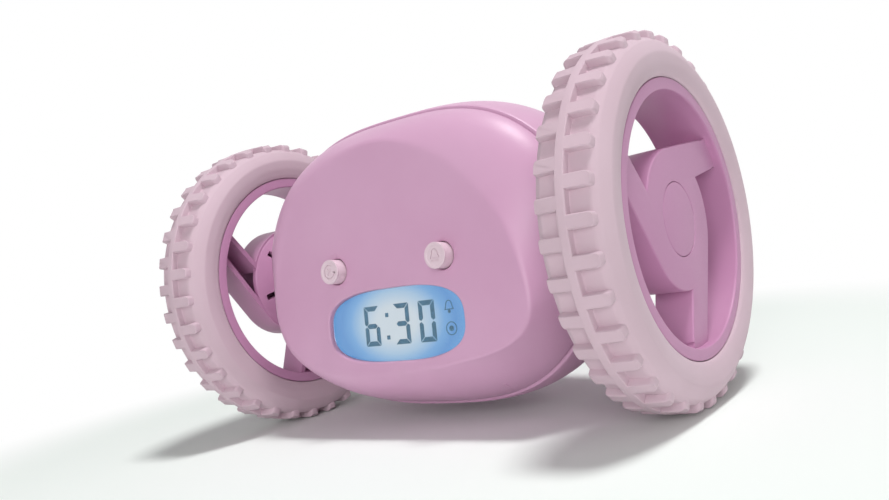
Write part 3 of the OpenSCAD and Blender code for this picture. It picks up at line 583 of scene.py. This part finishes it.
def rear_openings():
    """Cutters for the battery door, the set buttons, the screws, the sound and the slide switch."""
    door = door_sheet(0.0, -1.0, WALL + 1)
    tools = [wall_between("door_hole", door[0], [], door[1])]
    for x in REAR_BUTTONS.values():
        y = surface_back(x, REAR_BUTTON_Z)
        r = REAR_BUTTON_R + REAR_BUTTON_GAP
        bore = [(y + 2, 0), (y + 2, r + 0.35), (y, r + 0.3), (y - 0.3, r + 0.1), (y - 0.6, r),
                (30, r), (30, 0)]
        tools.append(turned("bore", bore, 48, on_back(x, REAR_BUTTON_Z)))
    for x, z in JOINS:
        y, mouth = surface_back(x, z), WELL_BORE + 0.15
        well = [(y + 6, 0), (y + 6, mouth), (y + 0.1, mouth), (-1, WELL_BORE), (-1, 0)]
        tools.append(turned("well", well, 40, on_back(x, z)))
    hole = [(45, 0), (45, SOUND_R), (25, SOUND_R), (25, 0)]
    for i in range(-2, 3):
        for j in range(3 - abs(i) % 2):
            z = SOUND_Z + SOUND_PITCH * (j + abs(i) % 2 / 2)
            tools.append(turned("sound_hole", hole, 24, on_back(SOUND_PITCH * i, z)))
    hx = SLIDE_TRAVEL / 2 + SLOT_PAST
    slot = rounded(rectangle(-hx, hx, -SLOT_HZ, SLOT_HZ), 0.4, closed=True)
    tools.append(prism("slot", slot, lambda x, z, d: (x, d, AXLE_Z + SLIDE_Z + z), 30, 45))
    return tools


def screw_well(x, z):
    """Tube for a case screw, that ends just below the skin all round."""
    skin = min(surface_back(x + WELL_R * math.cos(a), z + WELL_R * math.sin(a)) for a in range(7))
    y = skin - 0.8
    tube = [(-1.2, SCREW_HOLE_R), (-1.2, WELL_R), (y, WELL_R), (y, WELL_BORE),
            (-1, WELL_BORE), (-1, SCREW_HOLE_R)]
    return turned("screw_well", tube, 40, on_back(x, z), closed=True)


def seam_tongue(sign):
    """Tongue along the seam, above or below; each corner is (y, depth below the skin)."""
    section = [(-11.2, 2.55), (-11.2, 3.7), (-8.2, 3.7), (-8.2, 1.6), (-9.4, 1.6), (-9.4, 2.55)]
    rings = [[(x, y, AXLE_Z + sign * math.sqrt(barrel(x, depth) ** 2 - y * y)) for y, depth in section]
             for x in np.linspace(-48, 48, 65)]
    return close_up(mesh_object("tongue", np.concatenate(rings), ring_faces(len(rings), len(section))))


def rear_shell():
    """Rear shell with its openings, screw wells and tongue."""
    parts = [cut(rear_skin(), rear_openings())]
    parts += [screw_well(x, z) for x, z in JOINS]
    parts += [seam_tongue(sign) for sign in (-1, 1)]
    return joined("rear_shell_skin", parts)


def surface_back(x, z):
    """Y of the barrel's skin behind the axles, z above them."""
    return math.sqrt(barrel(x) ** 2 - z * z)


# Points along and round the door's arc.
DOOR_GRID = (41, 57)


def door_sheet(inset, depth_out, depth_in):
    """Outer and inner grid of the door's arc, smaller than its opening by inset on every side."""
    hx, turn = DOOR_HX - inset, math.degrees(inset / BARREL_R)
    along = np.linspace(-hx, hx, DOOR_GRID[0])
    around = np.radians(np.linspace(DOOR_DIR - DOOR_HALF + turn, DOOR_DIR + DOOR_HALF - turn, DOOR_GRID[1]))
    x, a = np.meshgrid(along, around, indexing="ij")
    return [np.stack([x, barrel(x, d) * np.cos(a), AXLE_Z + barrel(x, d) * np.sin(a)], -1)
            for d in (depth_out, depth_in)]


def door_grip(number):
    """One of the door's three grip ribs, with sloping ends."""
    middle = math.radians(DOOR_DIR + DOOR_HALF - 8 + 2.4 * number)
    section = [(-0.55, 0.2), (-0.4, -0.2), (-0.15, -0.35), (0.15, -0.35), (0.4, -0.2), (0.55, 0.2)]
    heights = [(x, 1.0) for x in np.linspace(-6.6, 6.6, 14)]
    rings = []
    for x, height in [(-7.3, 0.0), (-7.0, 0.6)] + heights + [(7.0, 0.6), (7.3, 0.0)]:
        radii = [barrel(x, 0.2 - (0.2 - depth) * height) for across, depth in section]
        turns = [middle + across / BARREL_R for across, depth in section]
        rings.append([(x, r * math.cos(a), AXLE_Z + r * math.sin(a)) for r, a in zip(radii, turns)])
    return close_up(mesh_object("grip", np.concatenate(rings), ring_faces(len(rings), len(section))))


def battery_door():
    """Door with rounded edges and three grip ribs."""
    rims = []
    for inset, depth in ((DOOR_GAP + 0.12, 0.07), (DOOR_GAP, 0.3), (DOOR_GAP, DOOR_T)):
        grid = door_sheet(inset, depth, depth)[0]
        rims.append(np.array([grid[i, j] for i, j in grid_edge(*DOOR_GRID)]))
    outer, inner = door_sheet(DOOR_GAP + 0.4, 0.0, 0.0)[0], door_sheet(DOOR_GAP + 0.2, DOOR_T, DOOR_T)[0]
    parts = [wall_between("battery_door_skin", outer, rims, inner)]
    parts += [door_grip(number) for number in (-1, 0, 1)]
    return joined("battery_door_skin", parts)


piece(front_shell(), "clock_body", "case_plastic", ["front_shell"])
piece(rear_shell(), "clock_body", "case_plastic", ["rear_shell"])
piece(battery_door(), "door", "case_plastic", ["battery_door"])


# ---- display ----
def loft_outline(name, rows):
    """A flat plug with the window's outline; each row is (y, grow), front first."""
    t = np.linspace(0, 2 * math.pi, 192, endpoint=False)
    points = []
    for y, grow in rows:
        x, z = window_outline(t, grow)
        points.append(row_frame(np.stack([x, y + 0 * x, z], -1)))
    return close_up(mesh_object(name, np.concatenate(points), ring_faces(len(rows), len(t))))


# Crowned front edge, then the flange that sits behind the shell.
lens_rows = [(-22.3, -0.45), (-22.27, -0.25), (-22.17, -0.1), (-22.0, 0.0), (-21.45, 0.0), (-21.45, 1.3),
             (-20.95, 1.3)]
lens = loft_outline("display_lens", lens_rows)
piece(lens, "clock_body", "clear_window", ["display_window"], sharp=25)


def in_display(x, z, depth):
    """A point of the display's picture in the row frame."""
    return row_frame((x, depth, z))


def printed(name, outline):
    """A flat mark on the display from an outline."""
    return prism(name, outline, in_display, MARK_FRONT, MARK_BACK)


def drawn(name, path, width=0.24):
    """A closed line on the display."""
    return stroke(name, path, width, in_display, MARK_FRONT, MARK_BACK, closed=True)


def digit(x0, x1, lit):
    """Seven-segment digit between x0 and x1 with mitred segments."""
    top, low, w, g = DIGIT_TOP, DIGIT_LOW, DIGIT_STROKE, DIGIT_GAP
    mid, h = (top + low) / 2, w / 2
    bar = {
        "a": [(x0 + g, top), (x1 - g, top), (x1 - g - w, top - w), (x0 + g + w, top - w)],
        "d": [(x0 + g, low), (x0 + g + w, low + w), (x1 - g - w, low + w), (x1 - g, low)],
        "g": [(x0 + g + h, mid), (x0 + g + w, mid + h), (x1 - g - w, mid + h), (x1 - g - h, mid),
              (x1 - g - w, mid - h), (x0 + g + w, mid - h)],
        "f": [(x0, top - g), (x0 + w, top - g - w), (x0 + w, mid + g + h), (x0 + h, mid + g),
              (x0, mid + g + h * 0.6)],
        "e": [(x0, low + g), (x0, mid - g - h * 0.6), (x0 + h, mid - g), (x0 + w, mid - g - h),
              (x0 + w, low + g + w)],
    }
    for left, right in (("f", "b"), ("e", "c")):
        bar[right] = [(x0 + x1 - x, z) for x, z in reversed(bar[left])]
    return [printed("segment", rounded(bar[s], 0.12, closed=True, steps=2)) for s in lit]


def bell(cx, cz, size):
    """Outline of a bell."""
    half = [(1.0, -0.62), (0.82, -0.42), (0.68, 0.0), (0.6, 0.42), (0.36, 0.78), (0.0, 0.92)]
    loop = half + [(-x, z) for x, z in reversed(half[:-1])]
    return [(cx + size * x, cz + size * z) for x, z in loop]


def circle(cx, cz, r, n=40, start=0.0, sweep=360.0):
    """Points round a circle, or along a part of it with both its ends."""
    turns = [math.radians(start + sweep * k / n) for k in range(n + (0 if sweep == 360.0 else 1))]
    return [(cx + r * math.cos(a), cz + r * math.sin(a)) for a in turns]


marks = digit(-11.9, -6.6, "afgecd") + digit(-1.4, 3.9, "abgcd") + digit(7.2, 12.5, "abcdef")
for z in (-15.0, -20.9):
    dot = rectangle(-4.35, -3.25, z - 0.55, z + 0.55)
    marks.append(printed("colon", rounded(dot, 0.12, closed=True, steps=2)))
icons = [drawn("bell", bell(17.2, -14.3, 1.45)), printed("clapper", circle(17.2, -15.75, 0.45, 20)),
         drawn("ring", circle(17.4, -20.0, 1.6)), printed("ring_middle", circle(17.4, -20.0, 0.7, 24))]
for name, shapes in (("display_digits", marks), ("display_icons", icons)):
    piece(joined(name, shapes), "clock_body", "lcd_glass").data.materials[0] = SEGMENT_INK


# ---- buttons ----
def front_cap(side, icon):
    """Front button: a cap with a fine rim step, its icon sunk into it, and a flange inside."""
    front, flange, r = -FACE_D - BUTTON_OUT, -FACE_D + WALL + 0.1, BUTTON_R
    corners = [(front + 0.12, 0, 0), (front + 0.12, r - 0.75, 0), (front, r - 0.6, 0.08), (front, r, 0.1),
               (front + 0.62, r, 0.28), (front + 0.68, r - 0.1, 0.05), (front + 0.8, r - 0.1, 0.05),
               (front + 0.86, r, 0.05), (flange, r, 0.05), (flange, r + 1, 0), (flange + 1, r + 1, 0),
               (flange + 1, 1.4, 0), (-19.9, 1.4, 0), (-19.9, 0, 0)]
    profile = rounded([(y, radius) for y, radius, soft in corners], [soft for y, radius, soft in corners])
    cap = turned("cap", profile, 96, on_face(side * BUTTON_X, BUTTON_Z))

    def sunk(x, z, depth):
        return row_frame((side * BUTTON_X + x, depth, BUTTON_Z + z))

    for path in icon:
        for start, end in zip(path, path[1:]):
            cut(cap, [stroke("icon", [start, end], 0.3, sunk, front - 0.5, front + 0.34)])
    return cap


bell_icon = [bell(0.0, 0.3, 1.45) + bell(0.0, 0.3, 1.45)[:1], [(-1.1, -1.25), (1.1, -1.25)]]
snooze_icon = [circle(0, 0, 1.8, 20, 60, 300), [(-0.75, 0.75), (0.65, 0.75), (-0.65, -0.75), (0.8, -0.75)]]
for name, side, icon in (("snooze", -1, snooze_icon), ("alarm", 1, bell_icon)):
    cap = piece(front_cap(side, icon), name + "_button_body", "button_plastic", [name + "_button"])
    cap.name = name + "_cap"


def rear_cap(name, x):
    """Set button on the back: a slightly dished cap with a flange, as deep as the solid button."""
    y, r, flange = surface_back(x, REAR_BUTTON_Z) + REAR_BUTTON_OUT, REAR_BUTTON_R, REAR_BUTTON_R + 0.5
    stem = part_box(name + "_button")[0].y * 1000
    corners = [(y - 0.1, 0), (y, r - 0.9), (y, r), (stem + 0.6, r), (stem + 0.6, flange),
               (stem, flange), (stem, 0)]
    profile = rounded(corners, [0, 0.3, 0.3, 0, 0, 0, 0])
    return turned(name + "_cap", profile, 64, on_back(x, REAR_BUTTON_Z))


for name, x in REAR_BUTTONS.items():
    piece(rear_cap(name, x), name + "_button_body", "button_plastic", [name + "_button"])


# ---- wheels ----
def tyre_carcass(side):
    """Sidewalls, tread floor and the raised crown ring."""
    # Each corner is its distance from the wheel's middle, its radius and its rounding, from the bead
    # over the sidewall and the shoulder to the tread floor and the crown.
    half, bead, floor = TYRE_W / 2, RIM_W / 2, WHEEL_R - BLOCK_H
    wall = [(bead - 2.3, RIM_R - 1.2, 0), (bead - 1.4, RIM_R + 0.02, 0), (bead, RIM_R + 0.02, 0.3),
            (bead + 0.5, RIM_R + 0.8, 0.4), (half - 0.1, RIM_R + 3, 0.8), (half, RIM_R + 5.6, 0.5),
            (half - 0.7, RIM_R + 7, 0.3), (half - 1.6, floor - 1.2, 0.4), (5.86, floor - 0.1, 0.5),
            (4.66, floor, 0.8), (CROWN_W / 2 + 0.1, floor, 0.3), (CROWN_W / 2, WHEEL_R, 0.3)]
    corners = wall + [(-x, r, soft) for x, r, soft in reversed(wall)]
    profile = rounded([(x, r) for x, r, soft in corners], [soft for x, r, soft in corners], closed=True)
    return turned("tyre", [(WHEEL_X + p[0], p[1]) for p in profile], 256, on_wheel(side), closed=True)


def tread_block(side, row, turn):
    """A tread block beside the wheel's middle, with rounded outer corners, that bends over the shoulder."""
    inner, outer, bend_from, bend = 0.75, 6.6, 4.9, 0.42
    top, base, long = WHEEL_R, WHEEL_R - BLOCK_H - 0.9, BLOCK_LEN / 2
    plan = rounded(rectangle(inner, outer, -long, long), [0, 1.0, 1.0, 0], closed=True, steps=5)
    # Each level of the block is a little smaller than the one below it.
    levels = [(0.06, base), (0.02, top - 0.35), (-0.04, top - 0.12), (-0.18, top - 0.01)]
    points = []
    for grow, r in levels:
        for across, along in plan:
            x = across + grow * (across > (inner + outer) / 2)
            drop = max(0.0, x - bend_from) ** 1.6 * bend * (r > base + 0.5)
            angle = turn + along * (1 + grow / long) / WHEEL_R
            points.append((side * row * x, (r - drop) * math.cos(angle), (r - drop) * math.sin(angle)))
    return close_up(mesh_object("block", points, ring_faces(len(levels), len(plan))))


def block_pair(side):
    """One tread block of each row; the rows are half a pitch apart."""
    rows = ((1, TREAD_TURN), (-1, TREAD_TURN + 360 / BLOCKS / 2))
    return joined("block_pair", [tread_block(side, row, math.radians(turn)) for row, turn in rows])


def tread_tree():
    """Repeats the pair of blocks round the axle and sets it on the wheel."""
    tree = bpy.data.node_groups.new("tread_rows", "GeometryNodeTree")
    sockets = tree.interface
    sockets.new_socket("Geometry", in_out="INPUT", socket_type="NodeSocketGeometry")
    count = sockets.new_socket("Blocks in a row", in_out="INPUT", socket_type="NodeSocketInt")
    centre = sockets.new_socket("Middle of the wheel", in_out="INPUT", socket_type="NodeSocketVector")
    rubber = sockets.new_socket("Rubber", in_out="INPUT", socket_type="NodeSocketMaterial")
    sockets.new_socket("Geometry", in_out="OUTPUT", socket_type="NodeSocketGeometry")
    given = tree.nodes.new("NodeGroupInput").outputs
    dots = node(tree, "GeometryNodePoints", {"Count": given[1]})
    step = node(tree, "ShaderNodeMath", {0: 2 * math.pi, 1: given[1]}, operation="DIVIDE")
    index = node(tree, "GeometryNodeInputIndex")
    turn = node(tree, "ShaderNodeMath", {0: index.outputs[0], 1: step.outputs[0]}, operation="MULTIPLY")
    about = node(tree, "ShaderNodeCombineXYZ", {"X": turn.outputs[0]})
    copies = node(tree, "GeometryNodeInstanceOnPoints", {"Points": dots.outputs[0], "Instance": given[0],
                                                         "Rotation": about.outputs[0]})
    real = node(tree, "GeometryNodeRealizeInstances", {"Geometry": copies.outputs[0]})
    place = node(tree, "GeometryNodeTransform", {"Geometry": real.outputs[0], "Translation": given[2]})
    paint = node(tree, "GeometryNodeSetMaterial", {"Geometry": place.outputs[0], "Material": given[3]})
    node(tree, "NodeGroupOutput", {0: paint.outputs[0]})
    return tree, count.identifier, centre.identifier, rubber.identifier


TREAD = tread_tree()


def tread_rows(side):
    """Both rows of tread blocks of one wheel."""
    obj = block_pair(side)
    step = obj.modifiers.new("tread", "NODES")
    step.node_group = TREAD[0]
    step[TREAD[1]] = BLOCKS
    step[TREAD[2]] = (side * WHEEL_X * 0.001, 0.0, AXLE_Z * 0.001)
    step[TREAD[3]] = FINISH["tyre_rubber"]
    return settle(obj)


def swirl(inset, bore):
    """Outline of the hub disc and its tangent spokes, clockwise, each edge moved in by inset."""
    hub, width = HUB_R - inset, HUB_R - SPOKE_W
    start = -math.sqrt(HUB_R ** 2 - width ** 2) + 3
    end = -math.sqrt((RIM_R - LIP_W + 0.8) ** 2 - HUB_R ** 2) - 4

    def inner_x(y):
        return width + SPOKE_TAPER * (y - start) / (end - start) + inset

    def meet(radius, y):
        """Where the spoke's inner edge meets a circle round the axle, found in a few steps."""
        for _ in range(8):
            y = -math.sqrt(radius ** 2 - inner_x(y) ** 2)
        return y

    low, high = meet(bore, -25.0), meet(hub, -14.0)
    path = [(hub, -s) for s in np.linspace(0, math.sqrt(bore ** 2 - hub ** 2), 8)]
    a0, a1 = math.atan2(path[-1][1], path[-1][0]), math.atan2(low, inner_x(low))
    path += [(bore * math.cos(a), bore * math.sin(a)) for a in np.linspace(a0, a1, 10)[1:]]
    path += [(inner_x(y), y) for y in np.linspace(low, high, 8)[1:]]
    a0 = math.atan2(high, inner_x(high))
    path += [(hub * math.cos(a), hub * math.sin(a)) for a in np.linspace(a0, -2 * math.pi / 3, 22)[1:-1]]
    out = []
    for spoke in range(3):
        turn = math.radians(SPOKE_TURN - 120 * spoke)
        c, s = math.cos(turn), math.sin(turn)
        out += [(x * c - z * s, x * s + z * c) for x, z in path]
    return out


# Radius inside the rim's lip, and the back of the hub and the spokes.
RIM_BORE, HUB_BACK = RIM_R - LIP_W, FACE_X - HUB_DEPTH


def rim_ring(side):
    """Rim ring with a well between its two lips."""
    half, seat, well = RIM_W / 2, RIM_R - 0.15, RIM_R - 1.3
    corners = [(-half, RIM_BORE, 0.3), (-half, seat, 0.3), (-half + 1.4, seat, 0), (-half + 2.2, well, 0),
               (half - 2.2, well, 0), (half - 1.4, seat, 0), (half, seat, 0.35), (half, RIM_BORE, 0.35),
               (half - 0.5, RIM_BORE - 0.12, 0.2), (-half + 0.5, RIM_BORE - 0.12, 0.2)]
    ring = rounded([(x, r) for x, r, soft in corners], [soft for x, r, soft in corners], closed=True)
    return turned("ring", [(WHEEL_X + x, r) for x, r in ring], 256, on_wheel(side), closed=True)


def on_hub(side):
    """Places an outline of the wheel's plane at x."""
    return lambda y, z, x: (side * x, y, AXLE_Z + z)


def spoke_disc(side):
    """Hollow hub and spokes with a softened edge, and a seat for the cap."""
    disc = prism("swirl", swirl(0, RIM_BORE + 0.35), on_hub(side), FACE_X, HUB_BACK)
    bm = bmesh.new()
    bm.from_mesh(disc.data)
    lip = [e for e in bm.edges if all(abs(abs(v.co.x) - FACE_X * 0.001) < 1e-7 for v in e.verts)
           and all(math.hypot(v.co.y, v.co.z - AXLE_Z * 0.001) < (RIM_BORE + 0.3) * 0.001 for v in e.verts)]
    bmesh.ops.bevel(bm, geom=lip, offset=0.0004, segments=3, profile=0.5, affect="EDGES", clamp_overlap=True)
    bm.to_mesh(disc.data)
    bm.free()
    hollow = swirl(SPOKE_WALL, RIM_BORE + 0.1)
    pocket = prism("pocket", hollow, on_hub(side), HUB_BACK - 1, FACE_X - SPOKE_WALL)
    fit, mouth = CAP_R + 0.12, CAP_R + 0.3
    seat = [(FACE_X - 1.2, 0), (FACE_X - 1.2, fit), (FACE_X - 0.2, fit), (FACE_X + 0.1, mouth),
            (FACE_X + 1, mouth), (FACE_X + 1, 0)]
    return cut(disc, [pocket, turned("cap_seat", seat, 96, on_wheel(side))])


def slotted_cone(side):
    """Cone behind the hub, with six slots and a tube for the axle."""
    tip, rim, tube, bore = HUB_BACK - 4.2, HUB_R - 0.5, 4.6, 2.05
    cone = [(tip, bore), (tip, 7), (HUB_BACK, rim), (HUB_BACK + 1.4, rim), (HUB_BACK + 1.4, rim - 1.1),
            (HUB_BACK - 2.2, 7), (HUB_BACK - 2.2, tube), (FACE_X - 1.4, tube), (FACE_X - 1.4, bore)]
    cone = rounded(cone, [0, 0.5, 0.4, 0, 0, 0, 0, 0, 0], closed=True)
    slot = rounded(rectangle(9.2, HUB_R - 2.6, -0.9, 0.9), 0.3, closed=True, steps=2)
    slots = []
    for k in range(6):
        c, s = math.cos(math.radians(60 * k + 15)), math.sin(math.radians(60 * k + 15))
        outline = [(u * c - v * s, u * s + v * c) for u, v in slot]
        slots.append(prism("slot", outline, on_hub(side), HUB_BACK - 6, HUB_BACK + 3))
    return cut(turned("cone", cone, 192, on_wheel(side), closed=True), slots)


def wheel_rim(side):
    """Rim ring, swirl of three spokes with its hub, and the slotted cone behind it."""
    return joined("wheel_rim", [rim_ring(side), spoke_disc(side), slotted_cone(side)])


def hub_disc(side):
    """Cap flush with the hub's face; the gap round it is the circle in the hub."""
    corners = [(FACE_X - 1.15, 0), (FACE_X - 1.15, CAP_R), (FACE_X, CAP_R), (FACE_X, 0)]
    return turned("hub_disc", rounded(corners, [0, 0, 0.22, 0]), 128, on_wheel(side))


for side, name in ((1, "right"), (-1, "left")):
    shapes = [("_tyre_carcass", tyre_carcass(side), "tyre_rubber", "_tyre"),
              ("_tread_blocks", tread_rows(side), "tyre_rubber", "_tyre"),
              ("_rim_and_spokes", wheel_rim(side), "rim_plastic", "_rim"),
              ("_hub_disc", hub_disc(side), "rim_plastic", "_hub_cap")]
    for ending, obj, slot_name, stands_for in shapes:
        obj.name = name + ending
        piece(obj, name + "_wheel", slot_name, [name + stands_for])

# ---- finishes of the CAD nodes ----
SLOT_NODES = {
    "case_plastic": ["front_shell", "rear_shell", "battery_tray", "battery_door"],
    "rim_plastic": ["rim", "hub_cap"],
    "tyre_rubber": ["tyre"],
    "button_plastic": ["slide_switch_knob", "snooze_button", "alarm_button", "hour_button", "minute_button",
                       "time_button", "alarm_set_button"],
    "clear_window": ["display_window"],
    "lcd_glass": ["lcd_panel"],
    "light_guide": ["backlight_block"],
    "circuit_board": ["main_board", "rear_board"],
    "black_plastic": ["front_switches", "rear_switches", "beeper", "slide_switch_case"],
    "gear_plastic": ["motor_plate", "idler_gear", "axle_gear"],
    "brass_gear": ["motor_pinion", "bush"],
    "spring_steel": ["battery_contacts", "board_screws", "case_screws", "axle", "wheel_screw"],
    "motor_can": ["motor"],
    "cell_can": ["battery_cells"],
}
for slot_name, names in SLOT_NODES.items():
    for name in names:
        for key in (name, "right_" + name, "left_" + name):
            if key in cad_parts:
                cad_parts[key].data.materials.clear()
                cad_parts[key].data.materials.append(FINISH[slot_name])

# ---- stage ----
def looked_at(tree):
    """1 for rays that look at the studio, straight, mirrored or through the window; 0 for its light."""
    paths = node(tree, "ShaderNodeLightPath").outputs
    seen = node(tree, "ShaderNodeMath", {0: paths["Is Camera Ray"], 1: paths["Is Glossy Ray"]},
                operation="MAXIMUM")
    seen = node(tree, "ShaderNodeMath", {0: seen.outputs[0], 1: paths["Is Transmission Ray"]},
                operation="MAXIMUM")
    return seen.outputs[0]


# The floor takes the shadow near the clock and turns into plain white further out.
bpy.ops.mesh.primitive_plane_add(size=8.0)
floor = bpy.context.object
floor.name = "studio_floor"
made, tree, out, place = new_material("white_sweep")
around = node(tree, "ShaderNodeMapping", {"Vector": place, "Scale": (1.3, 1.3, 1.3)})
near = node(tree, "ShaderNodeTexGradient", {"Vector": around.outputs["Vector"]}, gradient_type="SPHERICAL")
far = node(tree, "ShaderNodeMapRange", {"Value": near.outputs["Fac"], "From Min": 0.82, "From Max": 0.72,
                                        "To Min": 0.0, "To Max": 1.0}, interpolation_type="SMOOTHSTEP")
white = node(tree, "ShaderNodeMath", {0: far.outputs["Result"], 1: looked_at(tree)}, operation="MULTIPLY")
# The faint green in the floor's paint is a painted correction of shade: it cancels the pink light the clock
# throws into its shadow, so the shadow shows grey.
paint = node(tree, "ShaderNodeBsdfDiffuse", {"Color": linear("#f2f8f4")})
glow = node(tree, "ShaderNodeEmission", {"Color": linear("#ffffff"), "Strength": 1.0})
mix = node(tree, "ShaderNodeMixShader", {0: white.outputs[0], 1: paint.outputs[0], 2: glow.outputs[0]})
tree.links.new(mix.outputs[0], out.inputs["Surface"])
floor.data.materials.append(made)

scene = bpy.context.scene
world = bpy.data.worlds.new("studio")
world.use_nodes = True
scene.world = world
tree = world.node_tree
tree.nodes.clear()
level = node(tree, "ShaderNodeMapRange", {"Value": looked_at(tree), "To Min": 0.3, "To Max": 1.0})
sky = node(tree, "ShaderNodeBackground", {"Color": (1.0, 1.0, 1.0, 1.0), "Strength": level.outputs["Result"]})
node(tree, "ShaderNodeOutputWorld", {"Surface": sky.outputs[0]})


def soft_light(name, place, target, size, power):
    """A round area lamp that faces its target; metres and watts."""
    lamp = bpy.data.lights.new(name, "AREA")
    lamp.shape, lamp.size, lamp.energy = "DISK", size, power
    obj = bpy.data.objects.new(name, lamp)
    scene.collection.objects.link(obj)
    obj.location = place
    obj.rotation_euler = (Vector(target) - Vector(place)).to_track_quat("-Z", "Y").to_euler()


soft_light("overhead", (0.24, 0.04, 1.0), (0, 0, 0.04), 0.22, 6.6)
soft_light("front", (0.5, -0.95, 0.3), (0, 0, 0.04), 0.6, 4.9)

# Camera that matches the photograph: 36 mm wide sensor, axes and place in the row frame, in metres.
camera = bpy.data.objects.new("camera", bpy.data.cameras.new("camera"))
scene.collection.objects.link(camera)
camera.data.sensor_width, camera.data.lens = 36.0, 34.92
camera.data.clip_start = 0.01
right, up = Vector((0.7792, 0.6009, -0.1781)), Vector((0.1276, 0.1260, 0.9838))
ahead = Vector((-0.6136, 0.7893, -0.0215))
turn = Matrix((right, up, -ahead)).transposed()
camera.matrix_world = Matrix.Translation((0.15027, -0.19160, 0.05144)) @ turn.to_4x4()
scene.camera = camera
scene.view_settings.view_transform = "Standard"
